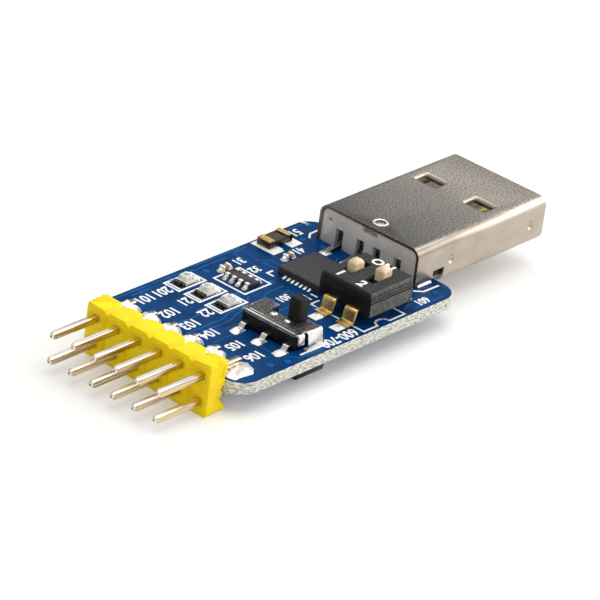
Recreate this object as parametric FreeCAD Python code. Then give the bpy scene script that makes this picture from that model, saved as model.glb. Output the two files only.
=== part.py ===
import FreeCAD, Part
import math
import os

# A serial adapter board: a flat A plug at the +X end, a double row of straight pins
# soldered astride the -X edge, and two switches and a bridge chip between them.
# Millimetres, +Z up. The insulator of the pin header stands on z = 0, and the middle
# of the whole length is at x = 0.

Vec = FreeCAD.Vector

# Circuit board
board_length = 30.4
board_width = 18.4
board_thickness = 1.2
board_corner_radius = 2.2
pad_thickness = 0.05
pad_spread = 0.3

# Pin header
pin_pitch = 2.54
pin_columns = 6
pin_side = 0.64
pin_front_length = 5.6
pin_tail_length = 3.05
pin_taper_length = 0.34
pin_tip_side = 0.4
header_height = 5.0
header_depth = 2.2
header_end_margin = 1.1
header_notch_depth = 0.5
header_notch_width = 0.7
header_seam_depth = 0.22
header_foot_depth = 0.32
header_foot_height = 0.6
header_foot_width = 1.5
header_recess_side = 1.1
header_recess_depth = 0.3
header_solder_start = 0.6
header_solder_length = 2.85
header_solder_width = 1.9
header_solder_shoulder = 0.6
header_solder_height = 1.15
header_solder_crown_length = 1.6
header_solder_crown_width = 0.85
header_solder_corner = 0.4

# Plug
plug_width = 12.0
plug_height = 4.5
plug_length = 18.8
plug_sheet = 0.3
plug_bend_radius = 1.0
plug_overlap = 3.0
plug_drop = 0.7
window_from_nose = 6.5
window_to_side = 1.82
window_length = 1.65
window_width = 2.36
window_lip_depth = 0.3
window_lip_wall = 0.24
window_corner_radius = 0.2
window_edge_radius = 0.38
dimple_radius = 0.46
dimple_depth = 0.24
front_dimple_from_nose = 2.1
rear_dimple_from_nose = 13.8
rivet_from_rear = 1.45
rivet_radius = 0.75
rivet_depth = 0.16
rivet_crown_foot = 0.46
rivet_crown_top = 0.26
wall_notch_length = 1.6
wall_notch_height = 1.0
wall_notch_before_edge = 0.5
seam_gap = 0.08
seam_lock_length = 2.4
seam_lock_neck = 1.4
seam_lock_width = 1.6
leg_length = 1.6
leg_from_rear = 0.5
leg_reach = 0.45
leg_slot_gap = 0.15
leg_bead_width = 0.18
leg_bead_height = 0.14
leg_cone_spread = 0.5
leg_cone_height = 0.32

# Plug insulator and its contacts
insulator_clearance = 0.03
insulator_recess = 0.12
insulator_block_length = 6.2
tongue_thickness = 1.95
tongue_side_gap = 0.12
tongue_nose_gap = 0.5
tongue_chamfer = 0.35
power_contact_offset = 3.5
data_contact_offset = 1.0
contact_width = 0.95
contact_thickness = 0.22
contact_proud = 0.1
power_contact_setback = 1.0
data_contact_setback = 2.0
contact_bend_radius = 0.3
contact_tail_width = 0.6
contact_tail_level = 0.5
contact_foot_reach = 1.9
contact_foot_length = 0.6
slot_width = 0.92
slot_height = 1.9
slot_depth = 1.0
recess_width = 1.75
recess_height = 0.65
recess_depth = 0.8
pilot_hole_radius = 0.17
pilot_hole_from_roof = 1.05

# Two-way switch with top sliders
dip_station = 20.65
dip_to_edge = 0.58
dip_length = 5.9
dip_width = 6.1
dip_standoff = 1.05
dip_base_height = 1.9
dip_lid_thickness = 0.5
dip_lid_inset = 0.1
dip_edge_chamfer = 0.14
slider_post_length = 1.2
slider_post_width = 1.1
slider_post_height = 0.85
slider_post_chamfer = 0.3
slider_foot_margin = 0.3
slider_foot_height = 0.5
slider_travel = 0.9
slider_slot_length = 2.75
slider_slot_shift = 0.2
slider_row_shift = 0.25
running_clearance = 0.05
dip_lead_width = 1.4
dip_lead_thickness = 0.25
dip_lead_bend_radius = 0.25
dip_lead_exit_height = 1.4
dip_lead_shoulder = 0.45
dip_lead_foot = 0.9
dip_lead_root = 0.8
dip_pad_width = 1.05
dip_pad_length_header_side = 2.3
dip_pad_length_plug_side = 1.1

# Slide switch with a tall knob
slide_station = 10.45
slide_to_edge = 1.7
slide_length = 3.3
slide_width = 6.2
slide_base_height = 1.4
slide_sheet = 0.25
slide_cover_setback = 0.2
slide_fold_radius = 0.19
slide_edge_radius = 0.1
slide_groove_inset = 0.3
slide_groove_width = 0.14
slide_groove_depth = 0.08
slide_bay_length = 1.3
slide_step_height = 0.7
slide_bump_radius = 0.34
slide_bump_height = 0.16
slide_bump_spacing = 1.7
slide_bump_to_bay = 0.42
knob_length = 1.2
knob_width = 1.3
knob_top = 3.8
knob_top_chamfer = 0.12
knob_travel = 2.0
knob_foot_reach = 0.8
knob_foot_height = 0.45
end_tab_width = 1.95
end_tab_flare = 0.25
end_strap_width = 0.7
end_strap_drop = 0.85
end_strap_lean = 0.06
slide_lead_spacing = 2.54
slide_lead_width = 0.6
slide_lead_thickness = 0.15
slide_lead_height = 0.55
slide_lead_reach = 1.5
slide_lead_shoulder = 0.45
slide_lead_foot = 0.75
slide_lead_root = 0.6

# Bridge chip, leadless, with its solder toes
bridge_centre = (21.45, 0.85)
bridge_side = 5.0
bridge_height = 0.85
bridge_pads_per_side = 7
bridge_pad_pitch = 0.5
bridge_pad_width = 0.25
bridge_pad_inner = 0.4
bridge_pad_toe = 0.4
bridge_pad_height = 0.2

# Indicator lamps
lamp_start = (10.7, 7.2)
lamp_count = 3
lamp_pitch = 2.55
lamp_length = 2.0
lamp_width = 1.25
lamp_base_height = 0.3
lamp_lens_length = 1.15
lamp_lens_width = 1.15
lamp_lens_height = 0.5
lamp_lens_taper = 0.17
lamp_end_length = 0.32

# Four-resistor array
array_centre = (15.1, 4.3)
array_length = 3.2
array_width = 1.6
array_height = 0.5
array_ways = 4
array_pitch = 0.8
array_cap_width = 0.42
array_cap_wrap = 0.3
array_cap_skin = 0.06

# Small two-ended chips: capacitors and resistors
small_length = 1.0
small_width = 0.55
small_height = 0.5
small_top_centres = ((15.45, 6.72), (22.05, 4.8))
medium_length = 1.6
medium_width = 0.8
medium_height = 0.75
end_cap_share = 0.24
end_cap_skin = 0.04

# Resettable fuse
fuse_station = 23.45
fuse_to_edge = 0.65
fuse_length = 3.2
fuse_width = 1.6
fuse_height = 0.7
fuse_cap_wrap = 0.6
fuse_cap_skin = 0.08
fuse_pad_length = 1.5
fuse_pad_width = 2.9
fuse_pad_shift = -0.3

# Chips with gull-wing leads under the board
chip_body_width = 3.9
chip_body_height = 1.45
chip_standoff = 0.15
chip_draft = 0.12
chip_lead_pitch = 1.27
chip_lead_width = 0.42
chip_lead_thickness = 0.2
chip_lead_span = 6.0
chip_lead_foot = 0.6
chip_lead_root = 0.5
line_driver_centre = (11.05, -3.05)
line_driver_length = 9.9
line_driver_lead_count = 8
bus_driver_centre = (21.9, -0.4)
bus_driver_length = 4.9
bus_driver_lead_count = 4
under_chip_centres = ((7.4, 4.9), (9.9, 4.9), (12.4, 4.9), (14.9, 4.9), (18.6, 3.6), (21.2, 3.6))

# Levels and stations that follow from the sizes above
total_length = pin_front_length + header_depth + board_length + plug_length - plug_overlap
pin_tip_x = -total_length / 2
header_front_x = pin_tip_x + pin_front_length
board_x0 = header_front_x + header_depth
board_x1 = board_x0 + board_length
plug_x0 = board_x1 - plug_overlap
plug_x1 = plug_x0 + plug_length
board_mid = header_height / 2
board_top = board_mid + board_thickness / 2
board_bottom = board_mid - board_thickness / 2
plug_z0 = board_top - plug_drop
plug_z1 = plug_z0 + plug_height
row_rise = pin_pitch / 2
header_half_width = (pin_columns - 1) * pin_pitch / 2 + header_end_margin
column_y = [((pin_columns - 1) / 2 - i) * pin_pitch for i in range(pin_columns)]
seat_top = board_top + pad_thickness
seat_bottom = board_bottom - pad_thickness
dip_centre = (dip_station, dip_to_edge + dip_width / 2 - board_width / 2)
slide_centre = (slide_station, slide_to_edge + slide_width / 2 - board_width / 2)
fuse_centre = (fuse_station, board_width / 2 - fuse_to_edge - fuse_width / 2)
contact_offsets = (power_contact_offset, data_contact_offset, -data_contact_offset, -power_contact_offset)
overshoot = 1.0
tiny = 1e-6

os.makedirs("parts", exist_ok=True)


def save(name, shape):
    shape.exportStep("parts/" + name + ".step")


def box(x0, x1, y0, y1, z0, z1):
    return Part.makeBox(x1 - x0, y1 - y0, z1 - z0, Vec(x0, y0, z0))


def block(cx, cy, z0, lx, ly, lz):
    return box(cx - lx / 2, cx + lx / 2, cy - ly / 2, cy + ly / 2, z0, z0 + lz)


def face_of(points):
    return Part.Face(Part.makePolygon(points + [points[0]]))


def prism(points, direction):
    return face_of(points).extrude(direction)


def taper(cx, cy, z0, z1, lower, upper):
    """A block whose sides slope from the lower (X, Y) size at z0 to the upper one at z1."""
    x0, y0 = lower[0] / 2, lower[1] / 2
    x1, y1 = upper[0] / 2, upper[1] / 2
    wedge = Part.makeWedge(-x0, 0, -y0, -y1, -x1, x0, z1 - z0, y0, y1, x1)
    wedge.rotate(Vec(0, 0, 0), Vec(1, 0, 0), 90)
    wedge.translate(Vec(cx, cy, z0))
    return wedge


def taper_on_x(x0, x1, cy, cz, side0, side1):
    """The same along X, square in section."""
    wedge = taper(0, 0, 0, x1 - x0, (side0, side0), (side1, side1))
    wedge.rotate(Vec(0, 0, 0), Vec(0, 1, 0), 90)
    wedge.translate(Vec(x0, cy, cz))
    return wedge


def fuse_all(shapes):
    return shapes[0].multiFuse(shapes[1:]).removeSplitter()


def chamfer_edges(shape, size, chosen):
    return shape.makeChamfer(size, [edge for edge in shape.Edges if chosen(edge)])


def fillet_edges(shape, radius, chosen):
    return shape.makeFillet(radius, [edge for edge in shape.Edges if chosen(edge)])


def is_upright(edge):
    box_of = edge.BoundBox
    return box_of.XLength < tiny and box_of.YLength < tiny and box_of.ZLength > tiny


def runs_on_x(edge):
    return edge.BoundBox.XLength > max(edge.BoundBox.YLength, edge.BoundBox.ZLength)


def at_height(edge, z):
    box_of = edge.BoundBox
    return abs(box_of.ZMin - z) < tiny and abs(box_of.ZMax - z) < tiny


def on_board(station):
    """Board station (from the header edge, from the middle line) in the part's frame."""
    return board_x0 + station[0], station[1]


def directions(path):
    runs = []
    for (xa, za), (xb, zb) in zip(path, path[1:]):
        length = math.hypot(xb - xa, zb - za)
        runs.append(((xb - xa) / length, (zb - za) / length))
    return runs


def folded_strip(path, thickness, width):
    """A strip of sheet folded sharply in the XZ plane along path, centred on y = 0."""
    runs = directions(path)
    upper = []
    lower = []
    for point, before, after in zip(path, [runs[0]] + runs, runs + [runs[-1]]):
        share = 1 + before[0] * after[0] + before[1] * after[1]
        mitre = ((before[0] + after[0]) / share, (before[1] + after[1]) / share)
        upper.append(offset_point(point, mitre, thickness / 2))
        lower.append(offset_point(point, mitre, -thickness / 2))
    corners = [Vec(x, -width / 2, z) for x, z in upper + lower[::-1]]
    return prism(corners, Vec(0, width, 0))


def bent_strip(path, radius, thickness, width):
    """A strip of sheet bent in the XZ plane along path, centred on y = 0."""
    runs = directions(path)

    def side(offset):
        edges = []
        start = offset_point(path[0], runs[0], offset)
        for corner, before, after in zip(path[1:-1], runs, runs[1:]):
            turn = math.atan2(before[0] * after[1] - before[1] * after[0],
                              before[0] * after[0] + before[1] * after[1])
            hand = math.copysign(1, turn)
            setback = radius * math.tan(abs(turn) / 2)
            begin = (corner[0] - before[0] * setback, corner[1] - before[1] * setback)
            end = (corner[0] + after[0] * setback, corner[1] + after[1] * setback)
            centre = offset_point(begin, before, hand * radius)
            middle = (before[0] + after[0], before[1] + after[1])
            size = math.hypot(middle[0], middle[1])
            middle = (middle[0] / size, middle[1] / size)
            crown = offset_point(centre, middle, -hand * (radius - hand * offset))
            arc_start = offset_point(begin, before, offset)
            arc_end = offset_point(end, after, offset)
            edges.append(line(start, arc_start))
            edges.append(Part.Arc(flat(arc_start), flat(crown), flat(arc_end)).toShape())
            start = arc_end
        edges.append(line(start, offset_point(path[-1], runs[-1], offset)))
        return edges

    caps = []
    for point, run in ((path[0], runs[0]), (path[-1], runs[-1])):
        caps.append(line(offset_point(point, run, thickness / 2), offset_point(point, run, -thickness / 2)))
    outline = Part.Wire(Part.__sortEdges__(side(thickness / 2) + side(-thickness / 2) + caps))
    strip = Part.Face(outline).extrude(Vec(0, width, 0))
    strip.translate(Vec(0, -width / 2, 0))
    return strip


def offset_point(point, run, offset):
    return point[0] - run[1] * offset, point[1] + run[0] * offset


def flat(point):
    return Vec(point[0], 0, point[1])


def line(start, end):
    return Part.LineSegment(flat(start), flat(end)).toShape()


def moved(shape, x, y, z=0.0):
    copy = shape.copy()
    copy.translate(Vec(x, y, z))
    return copy


def turned(shape, angle, x=0.0, y=0.0):
    copy = shape.copy()
    copy.rotate(Vec(x, y, 0), Vec(0, 0, 1), angle)
    return copy


def flipped(shape):
    """The same piece on the underside of the board."""
    return shape.mirror(Vec(0, 0, board_mid), Vec(0, 0, 1))


def pad(station, length, width, level=board_top):
    x, y = on_board(station)
    return block(x, y, level, length, width, pad_thickness)


# Circuit board: a rounded plate with two slots for the legs of the plug
def leg_stations():
    x = plug_x0 + leg_from_rear + leg_length / 2
    y = plug_width / 2 - plug_sheet / 2
    return [(x, y), (x, -y)]


def make_board():
    plate = box(board_x0, board_x1, -board_width / 2, board_width / 2, board_bottom, board_top)
    plate = fillet_edges(plate, board_corner_radius, is_upright)
    for x, y in leg_stations():
        slot = block(x, y, board_bottom - overshoot, leg_length + 2 * leg_slot_gap,
                     plug_sheet + 2 * leg_slot_gap, board_thickness + 2 * overshoot)
        plate = plate.cut(slot)
    return plate


# Pin header: square pins through a moulded strip that snaps apart at its notches
def make_pin(y, z):
    x0 = pin_tip_x
    x1 = board_x0 + pin_tail_length
    front = taper_on_x(x0, x0 + pin_taper_length, y, z, pin_tip_side, pin_side)
    h = pin_side / 2
    shank = box(x0 + pin_taper_length, x1 - pin_taper_length, y - h, y + h, z - h, z + h)
    tail = taper_on_x(x1 - pin_taper_length, x1, y, z, pin_side, pin_tip_side)
    return fuse_all([front, shank, tail])


def make_pins():
    pins = {}
    for row, z in (("top", board_mid + row_rise), ("bottom", board_mid - row_rise)):
        for number, y in enumerate(column_y, 1):
            pins["pin_" + row + "_" + str(number)] = make_pin(y, z)
    return pins


def make_header(pins):
    body = box(header_front_x, board_x0, -header_half_width, header_half_width, 0, header_height)
    cuts = []
    half = header_notch_width / 2
    along = Vec(header_depth + 2 * overshoot, 0, 0)
    up = Vec(0, 0, header_height + 2 * overshoot)
    for i in range(pin_columns + 1):
        y = (i - pin_columns / 2) * pin_pitch
        x = header_front_x - overshoot
        for z, tip in ((header_height, -header_notch_depth), (0, header_notch_depth)):
            cuts.append(prism([Vec(x, y - half, z), Vec(x, y + half, z), Vec(x, y, z + tip)], along))
        for x, tip in ((header_front_x, header_seam_depth), (board_x0, -header_seam_depth)):
            z = -overshoot
            cuts.append(prism([Vec(x, y - header_seam_depth, z), Vec(x, y + header_seam_depth, z),
                               Vec(x + tip, y, z)], up))
    body = body.cut(Part.makeCompound(cuts))
    feet = []
    for y in column_y:
        for z in (header_notch_depth / 5, header_height - header_notch_depth / 5 - header_foot_height):
            feet.append(box(board_x0 - header_seam_depth, board_x0 + header_foot_depth,
                            y - header_foot_width / 2, y + header_foot_width / 2, z, z + header_foot_height))
    body = fuse_all([body] + feet)
    recesses = []
    for y in column_y:
        for z in (board_mid + row_rise, board_mid - row_rise):
            recesses.append(taper_on_x(header_front_x, header_front_x + header_recess_depth, y, z,
                                       header_recess_side, pin_side))
    return body.cut(Part.makeCompound(recesses)).cut(Part.makeCompound(list(pins.values())))


def clipped_ring(cx, cy, z, length, width, corner):
    """A rectangle with its corners cut off, lying level at z."""
    x, y = length / 2, width / 2
    points = [(x, y - corner), (x - corner, y), (corner - x, y), (-x, y - corner),
              (-x, corner - y), (corner - x, -y), (x - corner, -y), (x, corner - y)]
    return Part.makePolygon([Vec(cx + px, cy + py, z) for px, py in points + points[:1]])


def make_header_solder(pins):
    """A mound of solder over each tail: steep from the board to its shoulder, then drawn in."""
    beads = []
    x = board_x0 + header_solder_start + header_solder_length / 2
    lean = header_solder_corner / 4
    for number, y in enumerate(column_y, 1):
        foot = clipped_ring(x, y, board_top, header_solder_length, header_solder_width, header_solder_corner)
        shoulder = clipped_ring(x, y, board_top + header_solder_shoulder, header_solder_length - 2 * lean,
                                header_solder_width - 2 * lean, header_solder_corner)
        crown = clipped_ring(x, y, board_top + header_solder_height, header_solder_crown_length,
                             header_solder_crown_width, header_solder_corner / 2)
        bead = Part.makeLoft([foot, shoulder, crown], True, True)
        beads.append(bead.cut(pins["pin_top_" + str(number)]))
    return beads


# Plug shell: one sheet folded round to a seam, with lipped windows and solder legs
def tube_profile(inset, x, length):
    y = plug_width / 2 - inset
    solid = box(x, x + length, -y, y, plug_z0 + inset, plug_z1 - inset)
    radius = plug_bend_radius - min(inset, plug_sheet)
    return fillet_edges(solid, radius, lambda edge: edge.BoundBox.XLength > length * 0.9)


def window_stations():
    x = plug_x1 - window_from_nose
    y = plug_width / 2 - window_to_side - window_width / 2
    return [(x, y), (x, -y)]


def make_window_lip(x, y):
    """The edge of the upper window, rolled down into the plug."""
    drop = plug_sheet + window_lip_depth
    lip = block(x, y, plug_z1 - drop, window_length + 2 * window_lip_wall,
                window_width + 2 * window_lip_wall, drop)
    return fillet_edges(lip, window_corner_radius + window_lip_wall, is_upright)


def make_window_hole(x, y, z0, z1):
    hole = block(x, y, z0, window_length, window_width, z1 - z0)
    return fillet_edges(hole, window_corner_radius, is_upright)


def make_shell():
    shell = tube_profile(0, plug_x0, plug_length)
    shell = shell.cut(tube_profile(plug_sheet, plug_x0 - overshoot, plug_length + 2 * overshoot))
    # The floor starts past the board's end, and the side walls stand on the board
    floor_x = board_x1 + wall_notch_length - wall_notch_before_edge
    y = plug_width / 2 + overshoot
    shell = shell.cut(box(plug_x0 - overshoot, floor_x, -y, y, plug_z0 - overshoot, board_top))
    shell = shell.cut(box(floor_x - wall_notch_length, floor_x, -y, y, plug_z0 - overshoot,
                          board_top + wall_notch_height))
    middle_z = (plug_z0 + plug_z1) / 2
    for x, y in window_stations():
        shell = shell.fuse(make_window_lip(x, y))
        shell = shell.cut(make_window_hole(x, y, middle_z, plug_z1 + overshoot))
        shell = shell.cut(make_window_hole(x, y, plug_z0 - overshoot, middle_z))
    shell = shell.removeSplitter()
    shell = fillet_edges(shell, min(window_edge_radius, plug_sheet / 2 + window_lip_depth),
                         lambda edge: at_height(edge, plug_z1) and is_window_edge(edge))
    shell = press_dimples(shell)
    shell = shell.cut(make_seam(floor_x))
    legs = []
    for x, y in leg_stations():
        legs.append(block(x, y, board_bottom - leg_reach, leg_length, plug_sheet,
                          board_thickness + leg_reach + plug_sheet))
    return fuse_all([shell] + legs)


def is_window_edge(edge):
    middle = edge.BoundBox.Center
    return any(abs(middle.x - x) < window_length and abs(middle.y - y) < window_width
               for x, y in window_stations())


def press_dimples(shell):
    """Round spots pushed into the side walls and one ringed spot near the rear on top."""
    centre_z = (plug_z0 + plug_z1) / 2
    bowl = (dimple_radius ** 2 + dimple_depth ** 2) / (2 * dimple_depth)
    for from_nose in (front_dimple_from_nose, rear_dimple_from_nose):
        for hand in (1, -1):
            y = hand * (plug_width / 2 + bowl - dimple_depth)
            shell = shell.cut(Part.makeSphere(bowl, Vec(plug_x1 - from_nose, y, centre_z)))
    x = plug_x0 + rivet_from_rear
    floor = Vec(x, 0, plug_z1 - rivet_depth)
    ring = Part.makeCylinder(rivet_radius, rivet_depth, floor)
    crown = Part.makeCone(rivet_crown_foot, rivet_crown_top, rivet_depth, floor)
    return shell.cut(ring.cut(crown))


def make_seam(floor_x):
    """Where the two edges of the sheet meet under the plug: a slit with a dovetail lock."""
    z = plug_z0 - overshoot
    middle = (floor_x + plug_x1) / 2
    narrow = seam_lock_neck / 2
    wide = seam_lock_length / 2
    outline = [(floor_x - overshoot, 0), (middle - narrow, 0), (middle - wide, seam_lock_width),
               (middle + wide, seam_lock_width), (middle + narrow, 0), (plug_x1 + overshoot, 0)]
    slits = []
    for (xa, ya), (xb, yb) in zip(outline, outline[1:]):
        length = math.hypot(xb - xa, yb - ya)
        slit = box(-seam_gap / 2, length + seam_gap / 2, -seam_gap / 2, seam_gap / 2, z,
                   plug_z0 + plug_sheet + insulator_clearance)
        slit.rotate(Vec(0, 0, 0), Vec(0, 0, 1), math.degrees(math.atan2(yb - ya, xb - xa)))
        slits.append(moved(slit, xa, ya))
    return fuse_all(slits)


def make_leg_solder(board, shell):
    """Solder that fills each leg's slot, a bead outside the wall and a cone under the board."""
    joints = []
    for x, y in leg_stations():
        hand = math.copysign(1, y)
        length = leg_length + 2 * leg_slot_gap
        width = plug_sheet + 2 * leg_slot_gap
        fill = block(x, y, board_bottom, length, width, board_thickness)
        wall = hand * plug_width / 2
        toe = wall + hand * leg_bead_width
        x0 = x - length / 2
        bead = prism([Vec(x0, wall, board_top), Vec(x0, toe, board_top),
                      Vec(x0, wall, board_top + leg_bead_height)], Vec(length, 0, 0))
        spread = 2 * leg_cone_spread
        cone = taper(x, y, board_bottom - leg_cone_height, board_bottom,
                     (leg_length + leg_slot_gap, plug_sheet + leg_slot_gap),
                     (length + spread, width + spread))
        joints.append(fuse_all([fill, bead, cone]).cut(shell).cut(board))
    return Part.makeCompound(joints)


# Plug insulator: a stepped block behind a tongue, and four contacts laid into it
def tongue_top():
    return plug_z0 + plug_sheet + insulator_clearance + tongue_thickness


def make_contact(y, setback):
    x_front = plug_x1 - tongue_nose_gap - setback
    z_run = tongue_top() + contact_proud - contact_thickness / 2
    z_foot = seat_top + contact_thickness / 2
    x_exit = plug_x0 + insulator_recess + slot_depth / 2
    x_foot = plug_x0 - contact_foot_reach + contact_foot_length
    path = [(x_front, z_run), (x_exit, z_run), (x_exit, board_top + contact_tail_level), (x_foot, z_foot),
            (x_foot - contact_foot_length, z_foot)]
    tail = bent_strip(path, contact_bend_radius, contact_thickness, contact_tail_width)
    x_wide = plug_x0 + insulator_block_length
    blade = box(x_wide, x_front, -contact_width / 2, contact_width / 2,
                z_run - contact_thickness / 2, z_run + contact_thickness / 2)
    return moved(fuse_all([tail, blade]), 0, y)


def make_contacts():
    contacts = {}
    for number, y in enumerate(contact_offsets, 1):
        setback = data_contact_setback if abs(y) == data_contact_offset else power_contact_setback
        contacts["plug_contact_" + str(number)] = make_contact(y, setback)
    return contacts


def make_insulator(contacts):
    inset = plug_sheet + insulator_clearance
    x0 = plug_x0 + insulator_recess
    core = tube_profile(inset, x0, insulator_block_length)
    reach = plug_width / 2
    core = core.cut(box(x0 - overshoot, board_x1 + insulator_clearance, -reach, reach,
                        plug_z0 - overshoot, board_top))
    tongue_half = plug_width / 2 - inset - tongue_side_gap
    tongue = box(x0 + insulator_block_length - overshoot, plug_x1 - tongue_nose_gap,
                 -tongue_half, tongue_half, plug_z0 + inset, tongue_top())
    nose = plug_x1 - tongue_nose_gap
    tongue = chamfer_edges(tongue, tongue_chamfer,
                           lambda edge: abs(edge.BoundBox.XMin - nose) < tiny and not is_upright(edge))
    tongue = tongue.common(tube_profile(inset, x0, plug_length))
    body = fuse_all([core, tongue])
    cuts = []
    for y in contact_offsets:
        cuts.append(box(x0 - overshoot, x0 + slot_depth, y - slot_width / 2, y + slot_width / 2,
                        board_top - overshoot, board_top + slot_height))
    roof = plug_z1 - plug_sheet
    cuts.append(box(x0 - overshoot, x0 + recess_depth, -recess_width / 2, recess_width / 2,
                    roof - recess_height, roof + overshoot))
    pilot = Vec(x0, (contact_offsets[0] + plug_width / 2) / 2, roof - pilot_hole_from_roof)
    cuts.append(Part.makeCylinder(pilot_hole_radius, recess_depth, pilot, Vec(1, 0, 0)))
    body = body.cut(Part.makeCompound(cuts))
    return body.cut(Part.makeCompound(list(contacts.values())))


# Two-way switch: base, lid, two sliders in their slots and four bent leads
def dip_frame():
    x, y = on_board(dip_centre)
    z0 = board_top + dip_standoff
    z1 = z0 + dip_base_height
    return x, y, z0, z1, z1 + dip_lid_thickness


def slider_stations():
    """The slots' middle, each slider's (X, Y) at rest and the middle of their travel.

    The first slider rests at its header end and the second at its plug end."""
    x, y = on_board(dip_centre)
    slot_x = x + slider_slot_shift
    plug_end = slot_x + (slider_slot_length - slider_post_length) / 2 - running_clearance
    header_end = plug_end - slider_travel
    row = y + slider_row_shift
    rests = [(header_end, row + pin_pitch / 2), (plug_end, row - pin_pitch / 2)]
    return slot_x, rests, (plug_end + header_end) / 2


def make_slider(x, y):
    _, _, _, z_lid0, z_lid1 = dip_frame()
    foot_z = z_lid0 - running_clearance - slider_foot_height
    foot = block(x, y, foot_z, slider_post_length + 2 * slider_foot_margin,
                 slider_post_width + 2 * slider_foot_margin, slider_foot_height)
    top = z_lid1 + slider_post_height
    post = block(x, y, foot_z, slider_post_length, slider_post_width, top - foot_z)
    post = chamfer_edges(post, slider_post_chamfer, lambda edge: at_height(edge, top))
    return fuse_all([foot, post])


def make_dip_lead(hand, y):
    """hand is -1 on the header side and 1 on the plug side."""
    x, _, z0, _, _ = dip_frame()
    z_exit = board_top + dip_lead_exit_height
    wall = dip_length / 2
    z_foot = seat_top + dip_lead_thickness / 2
    path = [(wall - dip_lead_root, z_exit), (wall + dip_lead_shoulder, z_exit),
            (wall + dip_lead_shoulder + dip_lead_bend_radius, z_foot),
            (wall + dip_lead_shoulder + dip_lead_bend_radius + dip_lead_foot, z_foot)]
    strip = bent_strip(path, dip_lead_bend_radius, dip_lead_thickness, dip_lead_width)
    if hand < 0:
        strip = turned(strip, 180)
    return moved(strip, x, y)


def make_dip():
    x, y, z0, z1, z2 = dip_frame()
    slot_x, rests, middle_x = slider_stations()
    sliders = {"dip_slider_" + str(n): make_slider(*rest) for n, rest in enumerate(rests, 1)}
    leads = {}
    rows = (y + pin_pitch / 2, y - pin_pitch / 2)
    for number, (hand, row) in enumerate(((-1, rows[0]), (-1, rows[1]), (1, rows[1]), (1, rows[0])), 1):
        leads["dip_lead_" + str(number)] = make_dip_lead(hand, row)
    base = block(x, y, z0, dip_length, dip_width, dip_base_height)
    base = chamfer_edges(base, dip_edge_chamfer, lambda edge: at_height(edge, z1) and runs_on_x(edge))
    lid = block(x, y, z1, dip_length, dip_width - 2 * dip_lid_inset, dip_lid_thickness)
    lid = chamfer_edges(lid, dip_edge_chamfer, lambda edge: at_height(edge, z2) and runs_on_x(edge))
    pocket_height = slider_foot_height + 2 * running_clearance
    pocket_length = slider_post_length + 2 * slider_foot_margin + slider_travel + 2 * running_clearance
    pocket_width = slider_post_width + 2 * slider_foot_margin + 2 * running_clearance
    for _, row in rests:
        base = base.cut(block(middle_x, row, z1 - pocket_height, pocket_length, pocket_width,
                              pocket_height + overshoot))
        lid = lid.cut(block(slot_x, row, z1 - overshoot, slider_slot_length,
                            slider_post_width + 2 * running_clearance, dip_lid_thickness + 2 * overshoot))
    base = base.cut(Part.makeCompound(list(leads.values())))
    return {"dip_base": base, "dip_lid": lid, **sliders, **leads}


# Slide switch: moulded base, folded steel cover, knob and three terminals
def slide_frame():
    x, y = on_board(slide_centre)
    return x, y, board_top, board_top + slide_base_height


def bay_edge():
    """Where the open bay for the knob starts, measured from the switch's far long side."""
    x, _, _, _ = slide_frame()
    return x + slide_length / 2 - slide_bay_length


def make_slide_base(terminals):
    x, y, z0, z1 = slide_frame()
    base = block(x, y, z0, slide_length, slide_width, slide_base_height)
    bay_width = knob_travel + knob_width + 2 * running_clearance
    step = z0 + slide_step_height
    base = base.cut(box(bay_edge(), x + slide_length / 2 + overshoot, y - bay_width / 2, y + bay_width / 2,
                        step, z1 + overshoot))
    channel_x = bay_edge() - knob_foot_reach - running_clearance
    channel_top = step + 3 * running_clearance + knob_foot_height
    base = base.cut(box(channel_x, bay_edge() + overshoot, y - bay_width / 2, y + bay_width / 2,
                        step, channel_top))
    return base.cut(Part.makeCompound(terminals))


def make_slide_cover():
    x, y, z0, z1 = slide_frame()
    top = z1 + slide_sheet
    x0 = x - slide_length / 2 + slide_cover_setback
    cover = box(x0, x + slide_length / 2, y - slide_width / 2, y + slide_width / 2, z1, top)
    cover = fillet_edges(cover, slide_edge_radius,
                         lambda edge: at_height(edge, top) and abs(edge.BoundBox.XMax - x0) < tiny)
    groove_x = x0 + slide_groove_inset
    cover = cover.cut(box(groove_x, groove_x + slide_groove_width, y - slide_width, y + slide_width,
                          top - slide_groove_depth, top + overshoot))
    bay_width = knob_travel + knob_width + 2 * running_clearance
    cover = cover.cut(box(bay_edge(), x + slide_length, y - bay_width / 2, y + bay_width / 2,
                          z1 - overshoot, top + overshoot))
    pieces = [cover]
    for hand in (1, -1):
        bump_y = y + hand * slide_bump_spacing / 2
        radius = (slide_bump_radius ** 2 + slide_bump_height ** 2) / (2 * slide_bump_height)
        bump_x = bay_edge() - slide_bump_to_bay
        ball = Part.makeSphere(radius, Vec(bump_x, bump_y, top + slide_bump_height - radius))
        across = 4 * slide_bump_radius
        pieces.append(ball.common(block(bump_x, bump_y, top - slide_sheet / 2, across, across, slide_sheet)))
        pieces.extend(make_end_tabs(x, y, hand, top))
    return fuse_all(pieces)


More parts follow.
